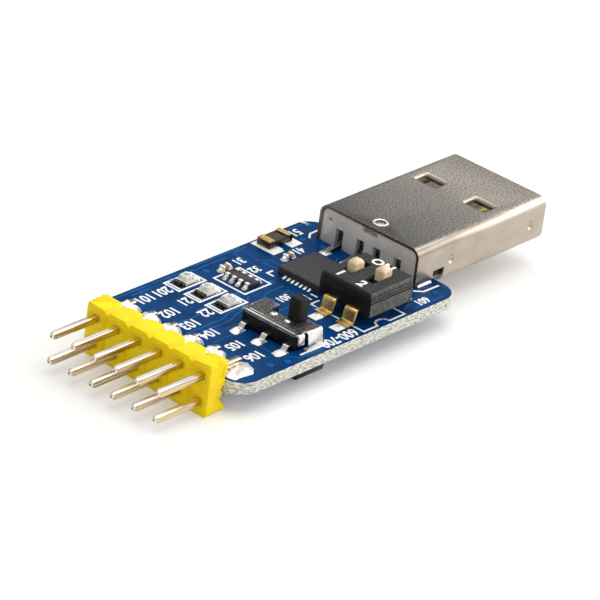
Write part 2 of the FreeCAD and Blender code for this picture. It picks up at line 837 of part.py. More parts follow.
def make_end_tabs(x, y, hand, top):
    """A wide tab that flares down to the board and a short strap beside it."""
    mid = top - slide_sheet / 2
    outer = slide_width / 2
    root = (outer - slide_sheet, mid)
    corner = (outer + slide_sheet, mid)
    toe = (outer + slide_sheet + end_tab_flare, seat_top + slide_sheet / 4)
    wide = bent_strip([root, corner, toe], slide_fold_radius, slide_sheet, end_tab_width)
    wide = wide.cut(box(0, slide_width, -slide_length, slide_length, board_bottom, seat_top))
    strap = bent_strip([root, corner, (outer + slide_sheet + end_strap_lean, mid - end_strap_drop)],
                       slide_fold_radius, slide_sheet, end_strap_width)
    tabs = []
    for strip, tab_x in ((wide, x + slide_length / 2 - end_tab_width / 2),
                         (strap, x - slide_length / 2 + slide_cover_setback + end_strap_width / 2)):
        tabs.append(moved(turned(strip, hand * 90), tab_x, y))
    return tabs


def make_knob():
    x, y, z0, z1 = slide_frame()
    bay_width = knob_travel + knob_width + 2 * running_clearance
    rest_y = y - bay_width / 2 + running_clearance + knob_width / 2
    floor = z0 + slide_step_height + running_clearance
    post_x = bay_edge() + running_clearance + knob_length / 2
    post = block(post_x, rest_y, floor, knob_length, knob_width, board_top + knob_top - floor)
    post = chamfer_edges(post, knob_top_chamfer, lambda edge: at_height(edge, board_top + knob_top))
    foot = box(bay_edge() - knob_foot_reach, post_x, rest_y - knob_width / 2, rest_y + knob_width / 2,
               floor, floor + knob_foot_height)
    return fuse_all([post, foot])


def make_slide_terminals():
    x, y, z0, _ = slide_frame()
    wall = slide_length / 2
    z_exit = z0 + slide_lead_height
    z_foot = seat_top + slide_lead_thickness / 2
    path = [(wall - slide_lead_root, z_exit), (wall + slide_lead_shoulder, z_exit),
            (wall + slide_lead_reach - slide_lead_foot, z_foot), (wall + slide_lead_reach, z_foot)]
    strip = turned(bent_strip(path, slide_lead_thickness, slide_lead_thickness, slide_lead_width), 180)
    return [moved(strip, x, y + offset * slide_lead_spacing) for offset in (1, 0, -1)]


# Leadless chip: the toes are prisms round the foot of a square body
def make_bridge_chip():
    x, y = on_board(bridge_centre)
    half = bridge_side / 2
    toes = []
    for side in range(4):
        for i in range(bridge_pads_per_side):
            offset = (i - (bridge_pads_per_side - 1) / 2) * bridge_pad_pitch - bridge_pad_width / 2
            outline = [Vec(half - bridge_pad_inner, offset, board_top),
                       Vec(half + bridge_pad_toe, offset, board_top),
                       Vec(half + bridge_pad_toe, offset, board_top + pad_thickness),
                       Vec(half, offset, board_top + bridge_pad_height),
                       Vec(half - bridge_pad_inner, offset, board_top + bridge_pad_height)]
            toe = prism(outline, Vec(0, bridge_pad_width, 0))
            toes.append(moved(turned(toe, 90 * side), x, y))
    body = block(x, y, board_top, bridge_side, bridge_side, bridge_height)
    body = chamfer_edges(body, pad_thickness, lambda edge: at_height(edge, board_top + bridge_height))
    group = Part.makeCompound(toes)
    return {"bridge_chip_body": body.cut(group), "bridge_chip_toes": group}


# Indicator lamps: a thin base with wrapped ends and a clear cap with sloping sides
def lamp_stations():
    return [on_board((lamp_start[0], lamp_start[1] - i * lamp_pitch)) for i in range(lamp_count)]


def make_lamps():
    pieces = {}
    ends = []
    cap = lamp_end_length
    for number, (x, y) in enumerate(lamp_stations(), 1):
        z1 = seat_top + lamp_base_height
        z2 = z1 + lamp_lens_height
        base = block(x, y, seat_top, lamp_length - 2 * cap, lamp_width, lamp_base_height)
        lens = taper(x, y, z1, z2, (lamp_lens_length, lamp_lens_width),
                     (lamp_lens_length - 2 * lamp_lens_taper, lamp_lens_width - 2 * lamp_lens_taper))
        pieces["lamp_base_" + str(number)] = base
        pieces["lamp_lens_" + str(number)] = lens
        for hand in (1, -1):
            ends.append(block(x + hand * (lamp_length - cap) / 2, y, seat_top,
                              cap, lamp_width, lamp_base_height))
    pieces["lamp_ends"] = Part.makeCompound(ends)
    return pieces


def make_two_ended(x, y, z, length, width, height):
    """A ceramic block with a metal cap wrapped round each end."""
    cap = length * end_cap_share
    skin = end_cap_skin
    core = block(x, y, z + skin, length - 2 * skin, width - 2 * skin, height - 2 * skin)
    caps = []
    for hand in (1, -1):
        outside = block(x + hand * (length - cap) / 2, y, z, cap, width, height)
        caps.append(outside.cut(core))
    return core, caps


def make_array():
    x, y = on_board(array_centre)
    core = block(x, y, seat_top + array_cap_skin, array_width - 2 * array_cap_skin, array_length,
                 array_height - 2 * array_cap_skin)
    caps = []
    for i in range(array_ways):
        row = y + (i - (array_ways - 1) / 2) * array_pitch
        for hand in (1, -1):
            outside = block(x + hand * (array_width - array_cap_wrap) / 2, row, seat_top, array_cap_wrap,
                            array_cap_width, array_height)
            caps.append(outside.cut(core))
    return {"resistor_array_body": core, "resistor_array_caps": Part.makeCompound(caps)}


def make_fuse():
    x, y = on_board(fuse_centre)
    skin = fuse_cap_skin
    core = block(x, y, seat_top + skin, fuse_length - 2 * skin, fuse_width, fuse_height - 2 * skin)
    caps = []
    for hand in (1, -1):
        outside = block(x + hand * (fuse_length - fuse_cap_wrap) / 2, y, seat_top, fuse_cap_wrap,
                        fuse_width, fuse_height)
        caps.append(outside.cut(core))
    return {"fuse_body": core, "fuse_caps": Part.makeCompound(caps)}


def make_small_chips():
    bodies = []
    caps = []
    for station in small_top_centres:
        x, y = on_board(station)
        core, ends = make_two_ended(x, y, seat_top, small_length, small_width, small_height)
        bodies.append(core)
        caps.extend(ends)
    under_bodies = []
    under_caps = []
    for station in under_chip_centres:
        x, y = on_board(station)
        core, ends = make_two_ended(x, y, seat_top, medium_length, medium_width, medium_height)
        under_bodies.append(flipped(core))
        under_caps.extend(flipped(end) for end in ends)
    return {"small_chip_bodies": Part.makeCompound(bodies),
            "small_chip_caps": Part.makeCompound(caps),
            "under_chip_bodies": Part.makeCompound(under_bodies),
            "under_chip_caps": Part.makeCompound(under_caps)}


# Gull-wing chips, built upright on the top level and mirrored to the underside
def make_gull_chip(centre, length, leads_per_side):
    x, y = on_board(centre)
    z0 = seat_top + chip_standoff
    z_mid = z0 + chip_body_height / 2
    inner = chip_body_width - 2 * chip_draft
    inner_length = length - 2 * chip_draft
    lower = taper(x, y, z0, z_mid, (inner, inner_length), (chip_body_width, length))
    upper = taper(x, y, z_mid, z0 + chip_body_height, (chip_body_width, length), (inner, inner_length))
    body = fuse_all([lower, upper])
    toe = chip_lead_span / 2
    heel = toe - chip_lead_foot
    shoulder = (chip_body_width / 2 + heel) / 2
    z_foot = seat_top + chip_lead_thickness / 2
    path = [(chip_body_width / 2 - chip_lead_root, z_mid), (shoulder, z_mid), (heel, z_foot), (toe, z_foot)]
    strip = folded_strip(path, chip_lead_thickness, chip_lead_width)
    leads = []
    for i in range(leads_per_side):
        row = (i - (leads_per_side - 1) / 2) * chip_lead_pitch
        leads.append(moved(strip, x, y + row))
        leads.append(moved(turned(strip, 180), x, y + row))
    body = body.cut(Part.makeCompound(leads))
    return flipped(body), [flipped(lead) for lead in leads]


def gull_pad_stations(centre, leads_per_side):
    reach = chip_lead_span / 2 - chip_lead_foot / 2
    stations = []
    for i in range(leads_per_side):
        row = centre[1] + (i - (leads_per_side - 1) / 2) * chip_lead_pitch
        stations.extend([(centre[0] + reach, row), (centre[0] - reach, row)])
    return stations


def pad_row(stations, length, width):
    return [pad(station, length, width) for station in stations]


def both_sides(centre, reach, shift=0.0):
    return [(centre[0] + reach, centre[1] + shift), (centre[0] - reach, centre[1] + shift)]


def make_switch_pads():
    pads = []
    toe = dip_length / 2 + dip_lead_shoulder
    for row in (dip_centre[1] + pin_pitch / 2, dip_centre[1] - pin_pitch / 2):
        for hand, length in ((1, dip_pad_length_plug_side), (-1, dip_pad_length_header_side)):
            pads.append(pad((dip_centre[0] + hand * (toe + length / 2), row), length, dip_pad_width))
    reach = (slide_length - slide_lead_foot) / 2 + slide_lead_reach
    stations = [(slide_centre[0] - reach, slide_centre[1] + i * slide_lead_spacing) for i in (1, 0, -1)]
    pads.extend(pad_row(stations, slide_lead_foot + 2 * pad_spread, slide_lead_width + pad_spread))
    x = slide_centre[0] + (slide_length - end_tab_width) / 2
    y = slide_width / 2 + slide_sheet + end_tab_flare
    stations = [(x, slide_centre[1] + y), (x, slide_centre[1] - y)]
    pads.extend(pad_row(stations, end_tab_width + pad_spread, 2 * slide_sheet + pad_spread))
    return pads


def make_pads():
    """Tinned copper under every soldered foot and cap, apart from the pin header's."""
    top = make_switch_pads()
    for x, y in lamp_stations():
        stations = both_sides((x - board_x0, y), lamp_length / 2)
        top.extend(pad_row(stations, 2 * lamp_end_length + pad_spread / 2, lamp_width))
    for i in range(array_ways):
        row = (i - (array_ways - 1) / 2) * array_pitch
        stations = both_sides(array_centre, array_width / 2, row)
        top.extend(pad_row(stations, array_cap_wrap + pad_spread, array_cap_width))
    for centre in small_top_centres:
        stations = both_sides(centre, small_length / 2)
        length = small_length * end_cap_share + pad_spread
        top.extend(pad_row(stations, length, small_width + pad_spread / 2))
    stations = both_sides(fuse_centre, (fuse_length - fuse_cap_wrap) / 2, fuse_pad_shift)
    top.extend(pad_row(stations, fuse_pad_length, fuse_pad_width))
    x = plug_x0 - board_x0 - contact_foot_reach + contact_foot_length / 2
    stations = [(x, y) for y in contact_offsets]
    top.extend(pad_row(stations, contact_foot_length + pad_spread, contact_tail_width + pad_spread))
    under = []
    for centre, count in ((line_driver_centre, line_driver_lead_count),
                          (bus_driver_centre, bus_driver_lead_count)):
        stations = gull_pad_stations(centre, count)
        under.extend(pad_row(stations, chip_lead_foot + pad_spread, chip_lead_width + pad_spread / 2))
    for centre in under_chip_centres:
        stations = both_sides(centre, medium_length / 2)
        under.extend(pad_row(stations, medium_length * end_cap_share + pad_spread, medium_width))
    return {"pads_top": Part.makeCompound(top),
            "pads_under": Part.makeCompound([flipped(one) for one in under])}


def main():
    pieces = {}
    board = make_board()
    pins = make_pins()
    beads = make_header_solder(pins)
    shell = make_shell()
    contacts = make_contacts()
    pieces["circuit_board"] = board
    pieces["header_insulator"] = make_header(pins)
    pieces.update(pins)
    pieces["header_solder_top"] = Part.makeCompound(beads)
    pieces["header_solder_under"] = Part.makeCompound([flipped(bead) for bead in beads])
    pieces["plug_shell"] = shell
    pieces["plug_insulator"] = make_insulator(contacts)
    pieces.update(contacts)
    pieces["plug_leg_solder"] = make_leg_solder(board, shell)
    pieces.update(make_dip())
    terminals = make_slide_terminals()
    pieces["slide_base"] = make_slide_base(terminals)
    pieces["slide_cover"] = make_slide_cover()
    pieces["slide_knob"] = make_knob()
    pieces["slide_terminals"] = Part.makeCompound(terminals)
    pieces.update(make_bridge_chip())
    pieces.update(make_lamps())
    pieces.update(make_array())
    pieces.update(make_fuse())
    pieces.update(make_small_chips())
    body, leads = make_gull_chip(line_driver_centre, line_driver_length, line_driver_lead_count)
    pieces["line_driver_body"] = body
    pieces["line_driver_leads"] = Part.makeCompound(leads)
    body, leads = make_gull_chip(bus_driver_centre, bus_driver_length, bus_driver_lead_count)
    pieces["bus_driver_body"] = body
    pieces["bus_driver_leads"] = Part.makeCompound(leads)
    pieces.update(make_pads())
    for name, shape in pieces.items():
        save(name, shape)
        print(name, len(shape.Solids), "solids", "valid" if shape.isValid() else "INVALID",
              round(shape.Volume, 3), "mm3")


main()
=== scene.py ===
import math

import bmesh
import bpy
from mathutils import Matrix, Quaternion, Vector, noise


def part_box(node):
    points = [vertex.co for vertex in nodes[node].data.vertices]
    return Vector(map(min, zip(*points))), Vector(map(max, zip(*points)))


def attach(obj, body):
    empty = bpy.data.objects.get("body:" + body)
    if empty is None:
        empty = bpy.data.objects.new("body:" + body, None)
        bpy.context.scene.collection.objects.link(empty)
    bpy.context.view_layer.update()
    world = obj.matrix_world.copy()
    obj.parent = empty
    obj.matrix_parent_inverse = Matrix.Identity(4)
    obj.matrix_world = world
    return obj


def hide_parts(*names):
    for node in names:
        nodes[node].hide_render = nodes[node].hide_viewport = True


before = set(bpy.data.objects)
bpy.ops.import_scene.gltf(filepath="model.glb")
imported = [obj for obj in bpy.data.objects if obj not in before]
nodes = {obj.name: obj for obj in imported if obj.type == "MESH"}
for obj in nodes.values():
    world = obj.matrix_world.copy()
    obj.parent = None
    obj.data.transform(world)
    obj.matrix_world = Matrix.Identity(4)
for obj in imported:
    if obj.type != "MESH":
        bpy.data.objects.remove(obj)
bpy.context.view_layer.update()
scene = bpy.context.scene
mm = 0.001
print("frame loaded:", len(nodes), "nodes")


# Helpers for materials

def linearColour(code):
    # sRGB hex to the linear values that the shaders take
    channels = [int(code[i:i + 2], 16) / 255 for i in (1, 3, 5)]
    return [c / 12.92 if c <= 0.04045 else ((c + 0.055) / 1.055) ** 2.4 for c in channels] + [1.0]


def addNode(tree, kind, settings=None, links=None):
    # links: socket name or number -> a value, or the output socket to join
    node = tree.nodes.new(kind)
    for key, value in (settings or {}).items():
        setattr(node, key, value)
    for key, value in (links or {}).items():
        if isinstance(value, bpy.types.NodeSocket):
            tree.links.new(value, node.inputs[key])
        else:
            node.inputs[key].default_value = value
    return node


def objectSpace(tree):
    return addNode(tree, "ShaderNodeTexCoord").outputs["Object"]


def addNoise(tree, place, featureMm, detail, roughness=0.5):
    return addNode(tree, "ShaderNodeTexNoise", None,
                   {"Vector": place, "Scale": 1.0 / (featureMm * mm), "Detail": detail,
                    "Roughness": roughness}).outputs[0]


def addRamp(tree, factor, stops):
    # stops: a position, and an sRGB hex or a grey level
    node = addNode(tree, "ShaderNodeValToRGB", None, {0: factor})
    elements = node.color_ramp.elements
    while len(elements) < len(stops):
        elements.new(0.5)
    for element, (position, colour) in zip(elements, stops):
        element.position = position
        element.color = linearColour(colour) if isinstance(colour, str) else [colour] * 3 + [1.0]
    return node.outputs[0]


def addRange(tree, value, taken=(0.0, 1.0), given=(0.0, 1.0), smooth=False):
    return addNode(tree, "ShaderNodeMapRange",
                   {"interpolation_type": "SMOOTHSTEP" if smooth else "LINEAR"},
                   {"Value": value, "From Min": taken[0], "From Max": taken[1],
                    "To Min": given[0], "To Max": given[1]}).outputs[0]


def addMix(tree, factor, first, second, blend="MIX"):
    return addNode(tree, "ShaderNodeMix", {"data_type": "RGBA", "blend_type": blend},
                   {0: factor, "A": first, "B": second}).outputs[2]


def addMath(tree, operation, first, second):
    node = addNode(tree, "ShaderNodeMath", {"operation": operation}, {0: first, 1: second})
    return node.outputs[0]


def addBump(tree, height, strength, distanceMm):
    return addNode(tree, "ShaderNodeBump", None,
                   {"Strength": strength, "Distance": distanceMm * mm, "Height": height}).outputs[0]


def startMaterial(name):
    material = bpy.data.materials.new(name)
    material.use_nodes = True
    tree = material.node_tree
    tree.nodes.clear()
    return material, tree


def endMaterial(tree, shader):
    addNode(tree, "ShaderNodeOutputMaterial", None, {"Surface": shader.outputs[0]})


def endSurface(tree, values):
    endMaterial(tree, addNode(tree, "ShaderNodeBsdfPrincipled", None, values))


# Helpers for shapes

def finishMesh(name, bm, materials, replaced=(), smoothAngle=40, body="board"):
    # bmesh in millimetres -> piece in metres, which rides on its body and takes the given materials
    bmesh.ops.scale(bm, vec=(mm, mm, mm), verts=bm.verts)
    bmesh.ops.recalc_face_normals(bm, faces=bm.faces)
    mesh = bpy.data.meshes.new(name)
    bm.to_mesh(mesh)
    bm.free()
    for material in materials:
        mesh.materials.append(material)
    mesh.shade_smooth()
    mesh.set_sharp_from_angle(angle=math.radians(smoothAngle))
    piece = bpy.data.objects.new(name, mesh)
    scene.collection.objects.link(piece)
    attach(piece, body)
    if replaced:
        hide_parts(*replaced)


def boxOfNode(nodeName):
    return [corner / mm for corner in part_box(nodeName)]


def meshOfNode(nodeName):
    # the node's triangles joined up again, flat faces made whole, in millimetres
    bm = bmesh.new()
    bm.from_mesh(nodes[nodeName].data)
    bmesh.ops.scale(bm, vec=(1 / mm, 1 / mm, 1 / mm), verts=bm.verts)
    bmesh.ops.remove_doubles(bm, verts=bm.verts, dist=1e-4)
    bmesh.ops.dissolve_limit(bm, angle_limit=math.radians(1.0), verts=bm.verts, edges=bm.edges)
    return bm


def softenEdges(bm, width, segments=2, angle=33):
    sharp = [e for e in bm.edges if len(e.link_faces) == 2
             and e.calc_face_angle(0) > math.radians(angle)]
    bmesh.ops.bevel(bm, geom=sharp, offset=width, offset_type="OFFSET", segments=segments,
                    profile=0.5, affect="EDGES", clamp_overlap=True)


def softMesh(nodeName, width, segments=2, angle=33):
    bm = meshOfNode(nodeName)
    softenEdges(bm, width, segments, angle)
    return bm


def dressNode(nodeName, pieceName, material, width, segments=2, angle=33, body="board"):
    # a copy of the node with its edges eased, which stands in for it
    bm = softMesh(nodeName, width, segments, angle)
    finishMesh(pieceName, bm, [material], [nodeName], body=body)


def paintFaces(bm, index, chosen):
    # gives another of the piece's materials to the faces chosen by their normal and middle
    bm.normal_update()
    for face in bm.faces:
        if chosen(face.normal, face.calc_center_median()):
            face.material_index = index


def circle(steps):
    turns = [2 * math.pi * s / steps for s in range(steps)]
    return [(math.cos(turn), math.sin(turn)) for turn in turns]


def joinRows(bm, rows):
    # a skin between each closed row of points and the next
    count = len(rows[0])
    for first, second in zip(rows, rows[1:]):
        for a in range(count):
            b = (a + 1) % count
            bm.faces.new((first[a], first[b], second[b], second[a]))


def addStrip(bm, points, width, low, high, closed=False):
    # a flat raised band along a line of points, mitred at its corners
    count = len(points)
    leastMitre = 0.25
    left, right = [], []
    for i, point in enumerate(points):
        here = Vector(point)
        before = Vector(points[i - 1]) if closed or i else None
        after = Vector(points[(i + 1) % count]) if closed or i < count - 1 else None
        into = ((here - before) if before is not None else (after - here)).normalized()
        out = (after - here).normalized() if after is not None else into
        normalIn, normalOut = Vector((-into.y, into.x)), Vector((-out.y, out.x))
        share = max(leastMitre, 1 + normalIn.dot(normalOut))
        offset = (normalIn + normalOut) / share * (width / 2)
        left.append(here + offset)
        right.append(here - offset)
    rows = [[bm.verts.new((p.x, p.y, z)) for p in side] for side, z in
            ((left, low), (left, high), (right, high), (right, low))]
    for i in range(count if closed else count - 1):
        j = (i + 1) % count
        for a, b in ((0, 1), (1, 2), (2, 3)):
            bm.faces.new((rows[a][i], rows[b][i], rows[b][j], rows[a][j]))
    if not closed:
        for i in (0, count - 1):
            bm.faces.new([rows[k][i] for k in range(4)])


def addMound(bm, centre, size, height, base, fall, wobble, seed, rings=7, steps=22, shift=(0, 0)):
    # a lump of solder that wetted its pad: full at the top, drawn out thin at the foot;
    # the pad's corners pull its outline toward a square
    lump = {"outline": 1.7, "corners": 0.35, "shoulder": 0.8, "grain": 1.9, "roughness": 1.6}
    columns = []
    for r in range(1, rings + 1):
        share = r / rings
        row = []
        for dx, dy in circle(steps):
            spot = Vector((dx * lump["outline"] + seed, dy * lump["outline"], seed * 3.1))
            lean = noise.noise(spot)
            reach = share * (1 + wobble * 2 * lean * share)
            square = 1 / max(abs(dx), abs(dy)) ** lump["corners"]
            x = centre[0] + dx * reach * square * size[0] / 2 + shift[0] * (1 - share)
            y = centre[1] + dy * reach * square * size[1] / 2 + shift[1] * (1 - share)
            rise = (1 - share ** fall) ** lump["shoulder"] if share < 1 else 0.0
            spot = Vector((x * lump["grain"] + seed, y * lump["grain"], seed))
            rough = 1 + wobble * lump["roughness"] * noise.noise(spot)
            row.append(bm.verts.new((x, y, base + height * rise * rough)))
        columns.append(row)
    top = bm.verts.new((centre[0] + shift[0], centre[1] + shift[1],
                        base + height * (1 + wobble * 0.5)))
    for s in range(steps):
        t = (s + 1) % steps
        bm.faces.new((top, columns[0][s], columns[0][t]))
        for inner, outer in zip(columns, columns[1:]):
            bm.faces.new((inner[s], outer[s], outer[t], inner[t]))


def addText(bm, words, height, centre, level, turn, thickness, weight, squeeze=0.86):
    # plain figures as thin solid shapes; turn is degrees about Z
    capital = 0.73  # height of a figure in the built-in font at size 1
    curve = bpy.data.curves.new("figures", "FONT")
    curve.body = words
    curve.size = height / capital
    curve.align_x = "CENTER"
    curve.align_y = "CENTER"
    curve.extrude = thickness / 2
    curve.offset = weight
    curve.resolution_u = 3
    shape = bpy.data.objects.new("figures", curve)
    mesh = bpy.data.meshes.new_from_object(shape)
    spot = Matrix.Translation((centre[0], centre[1], level + thickness / 2))
    narrow = Matrix.Diagonal((squeeze, 1.0, 1.0, 1.0))
    mesh.transform(spot @ Matrix.Rotation(math.radians(turn), 4, "Z") @ narrow)
    bm.from_mesh(mesh)
    bpy.data.objects.remove(shape)
    bpy.data.curves.remove(curve)
    bpy.data.meshes.remove(mesh)


# Materials

def makeSolderMask():
    # Solder mask: printed blue epoxy lacquer, cured glossy, with a slightly uneven skin.
    material, tree = startMaterial("solderMask")
    place = objectSpace(tree)
    cloud = addNoise(tree, place, 2.5, 3.0)
    skin = addNoise(tree, place, 0.35, 2.0)
    endSurface(tree, {"Base Color": addRamp(tree, cloud, [(0.35, "#033363"), (0.68, "#084278")]),
                      "Roughness": 0.3, "IOR": 1.5, "Specular IOR Level": 0.03,
                      "Normal": addBump(tree, skin, 0.25, 0.02)})
    return material


def makeMaskOverCopper():
    # The same lacquer where copper lies under it: a shade lighter.
    material, tree = startMaterial("solderMaskOverCopper")
    cloud = addNoise(tree, objectSpace(tree), 1.5, 2.0)
    endSurface(tree, {"Base Color": addRamp(tree, cloud, [(0.3, "#104a87"), (0.7, "#1e62a2")]),
                      "Roughness": 0.3, "IOR": 1.5, "Specular IOR Level": 0.04})
    return material


def makeLaminateEdge():
    # Glass-epoxy laminate, cut by routing: pale and matt, with thin rows of cut glass yarn.
    # Real yarn is finer; it is drawn coarse enough to show.
    material, tree = startMaterial("glassEpoxyLaminate")
    stretch = addNode(tree, "ShaderNodeMapping", None,
                      {"Vector": objectSpace(tree), "Scale": (0.5, 0.5, 1.6)})
    yarn = addNoise(tree, stretch.outputs[0], 0.22, 3.0, 0.7)
    tint = addRamp(tree, yarn, [(0.36, "#66655e"), (0.46, "#c6c4bb"), (0.6, "#eeece2")])
    endSurface(tree, {"Base Color": tint, "Roughness": 0.6, "IOR": 1.5,
                      "Normal": addBump(tree, yarn, 0.4, 0.03)})
    return material


def makeLegendInk():
    # Legend ink: screen-printed white epoxy, matt, a little thin where it was squeezed.
    material, tree = startMaterial("legendInk")
    grain = addNoise(tree, objectSpace(tree), 0.3, 2.0)
    endSurface(tree, {"Base Color": addRamp(tree, grain, [(0.25, "#d5dbe4"), (0.5, "#f6f7f8")]),
                      "Roughness": 0.55, "IOR": 1.5})
    return material


def makeSolder(name, low, high, roughness, rippleMm, metallic):
    # Tin solder, melted and set: bright and rippled, with grey patches where flux stayed. Its white
    # is
    # painted highlight: a near-white colour, only partly metallic, looks white all over like many
    # small glints.
    material, tree = startMaterial(name)
    place = objectSpace(tree)
    patch = addNoise(tree, place, 0.7, 4.0)
    ripple = addNoise(tree, place, rippleMm, 2.0)
    dull = addRange(tree, patch, (0.35, 0.65), (roughness * 1.5, roughness * 0.8))
    endSurface(tree, {"Base Color": addRamp(tree, patch, [(0.36, low), (0.52, high)]),
                      "Metallic": metallic, "Roughness": dull,
                      "Normal": addBump(tree, ripple, 0.7, 0.14)})
    return material


def makePinWire(name, dark, light):
    # Brass wire, drawn square and tin plated: bright, with fine drawing lines along its length.
    # The warm copy used on the two side faces is a painted reflection of the yellow insulator.
    material, tree = startMaterial(name)
    along = addNode(tree, "ShaderNodeMapping", None,
                    {"Vector": objectSpace(tree), "Scale": (0.02, 1.0, 1.0)})
    streak = addNoise(tree, along.outputs[0], 0.14, 2.0)
    endSurface(tree, {"Base Color": addRamp(tree, streak, [(0.34, dark), (0.5, light)]),
                      "Metallic": 1.0, "Roughness": 0.22,
                      "Normal": addBump(tree, streak, 0.1, 0.01)})
    return material


def makeHeaderNylon():
    # Glass-filled nylon, injection moulded in lemon yellow: satin and even, soft inside, with
    # a faint flow mark here and there.
    material, tree = startMaterial("mouldedYellowNylon")
    place = objectSpace(tree)
    cloud = addNoise(tree, place, 1.6, 2.0)
    skin = addNoise(tree, place, 0.2, 3.0)
    endSurface(tree, {"Base Color": addRamp(tree, cloud, [(0.3, "#ffd600"), (0.6, "#ffe000")]),
                      "Roughness": 0.42, "IOR": 1.53, "Specular IOR Level": 0.2,
                      "Subsurface Weight": 0.2, "Subsurface Radius": (1.0, 0.5, 0.05),
                      "Subsurface Scale": 0.4 * mm, "Normal": addBump(tree, skin, 0.3, 0.03)})
    return material


def makeSheet(name, dark, light, grainMm, roughness, strength):
    # Bronze or steel sheet, rolled, stamped and plated: satin, with a fine speckle.
    # The grain of real plating is finer; it is drawn coarse enough to show.
    material, tree = startMaterial(name)
    grain = addNoise(tree, objectSpace(tree), grainMm, 3.0, 0.65)
    endSurface(tree, {"Base Color": addRamp(tree, grain, [(0.36, dark), (0.62, light)]),
                      "Metallic": 1.0, "Roughness": roughness,
                      "Normal": addBump(tree, grain, strength, 0.03)})
    return material


def makePlatedSteel(name, look):
    # Steel sheet, rolled, stamped, bent and plated. Its flat upper face is speckled and is painted
    # darker than the smooth bends and sides, most at its rear end, and painted bright toward its
    # nose:
    # painted shade and painted reflection. The speckle is drawn coarse enough to show.
    material, tree = startMaterial(name)
    place = objectSpace(tree)
    surface = addNode(tree, "ShaderNodeNewGeometry")
    facing = addNode(tree, "ShaderNodeSeparateXYZ", None, {0: surface.outputs["Normal"]})
    upper = addRange(tree, facing.outputs[2], (look["flatFrom"], 0.99), smooth=True)
    spot = addNode(tree, "ShaderNodeSeparateXYZ", None, {0: place})
    along = addRange(tree, spot.outputs[0], (look["rear"] * mm, look["nose"] * mm))
    paintedShadeAlong = addRamp(tree, along, [(0.0, look["rearPaintedShade"]), (0.45, look["middlePaintedShade"]),
                                    (1.0, look["nosePaintedHighlight"])])
    grain = addNoise(tree, place, look["grain"], 3.0, 0.7)
    speckle = addRamp(tree, grain, [(0.4, look["speckleLow"]), (0.58, 1.0)])
    speckledPaintedShade = addMix(tree, 1.0, paintedShadeAlong, speckle, "MULTIPLY")
    cloud = addNoise(tree, place, 2.0, 2.0)
    plain = addRamp(tree, cloud, [(0.3, look["sideLow"]), (0.7, look["sideHigh"])])
    rough = addRange(tree, upper, given=(look["sideRoughness"], look["topRoughness"]))
    pitted = addMath(tree, "MULTIPLY", grain, upper)
    endSurface(tree, {"Base Color": addMix(tree, upper, plain, speckledPaintedShade), "Metallic": 1.0,
                      "Roughness": rough, "Normal": addBump(tree, pitted, look["relief"], 0.03)})
    return material


def makeMoulded(name, dark, light, patchMm, roughness, grainMm, strength, ior=1.5, shine=0.5):
    # Moulded plastic or epoxy: even colour with faint clouding and a fine eroded grain.
    material, tree = startMaterial(name)
    place = objectSpace(tree)
    cloud = addNoise(tree, place, patchMm, 3.0)
    grain = addNoise(tree, place, grainMm, 2.0)
    endSurface(tree, {"Base Color": addRamp(tree, cloud, [(0.3, dark), (0.7, light)]),
                      "Roughness": roughness, "IOR": ior, "Specular IOR Level": shine,
                      "Normal": addBump(tree, grain, strength, 0.03)})
    return material


def makeLampResin(name, low, middle, high):
    # Epoxy over the lamp's die, cast and sawn: milky white at the rim, and grey-green with
    # the die and its wire showing through the sunken window.
    material, tree = startMaterial(name)
    cloud = addNoise(tree, objectSpace(tree), 0.35, 3.0)
    tint = addRamp(tree, cloud, [(0.34, low), (0.44, middle), (0.58, high)])
    endSurface(tree, {"Base Color": tint, "Roughness": 0.12, "IOR": 1.52,
                      "Transmission Weight": 0.12, "Coat Weight": 0.5,
                      "Normal": addBump(tree, cloud, 0.5, 0.06)})
    return material


solderMask = makeSolderMask()
maskOverCopper = makeMaskOverCopper()
laminateEdge = makeLaminateEdge()
legendInk = makeLegendInk()
headerSolder = makeSolder("reflowedTinSolder", "#bdbab3", "#fbfaf8", 0.3, 0.45, 0.72)
padTin = makeSolder("tinnedCopper", "#efeeea", "#fefdfa", 0.45, 0.5, 0.3)
tinnedPin = makePinWire("tinPlatedWire", "#bdb4a8", "#f3eee7")
pinSidePaintedReflection = makePinWire("wireSidePaintedReflection", "#a08c66", "#dccaa8")
headerNylon = makeHeaderNylon()
# the tints along each sheet's upper face are painted shade and painted highlight
nickelSteel = makePlatedSteel("nickelPlatedSteelSheet", {
    "rear": 8.2, "nose": 27.0,
    "rearPaintedShade": "#6e6e6e", "middlePaintedShade": "#afa9a2", "nosePaintedHighlight": "#f3e9da",
    "grain": 0.15, "speckleLow": 0.24, "sideLow": "#afa396", "sideHigh": "#bab0a3",
    "topRoughness": 0.36, "sideRoughness": 0.3, "relief": 0.8, "flatFrom": 0.86})
tinnedSteel = makePlatedSteel("tinPlatedSteelSheet", {
    "rear": -10.4, "nose": -7.1,
    "rearPaintedShade": "#747371", "middlePaintedShade": "#787774", "nosePaintedHighlight": "#7d7b77",
    "grain": 0.2, "speckleLow": 0.14, "sideLow": "#dedada", "sideHigh": "#f0edea",
    "topRoughness": 0.4, "sideRoughness": 0.26, "relief": 0.9, "flatFrom": 0.95})
rivetSteel = makeSheet("pressedNickelSteel", "#d9d0c4", "#efe8de", 0.3, 0.24, 0.2)
# the cut edge's dark colour is painted shade
shadedCutSteel = makeSheet("shadedCutSteelEdge", "#4b3c31", "#8a7562", 0.2, 0.4, 0.3)
cutBrass = makeSheet("cutBrassEnd", "#4d4740", "#a39c92", 0.2, 0.4, 0.4)
goldFlash = makeSheet("goldFlashedBronze", "#b08f52", "#eed08c", 0.14, 0.34, 0.2)
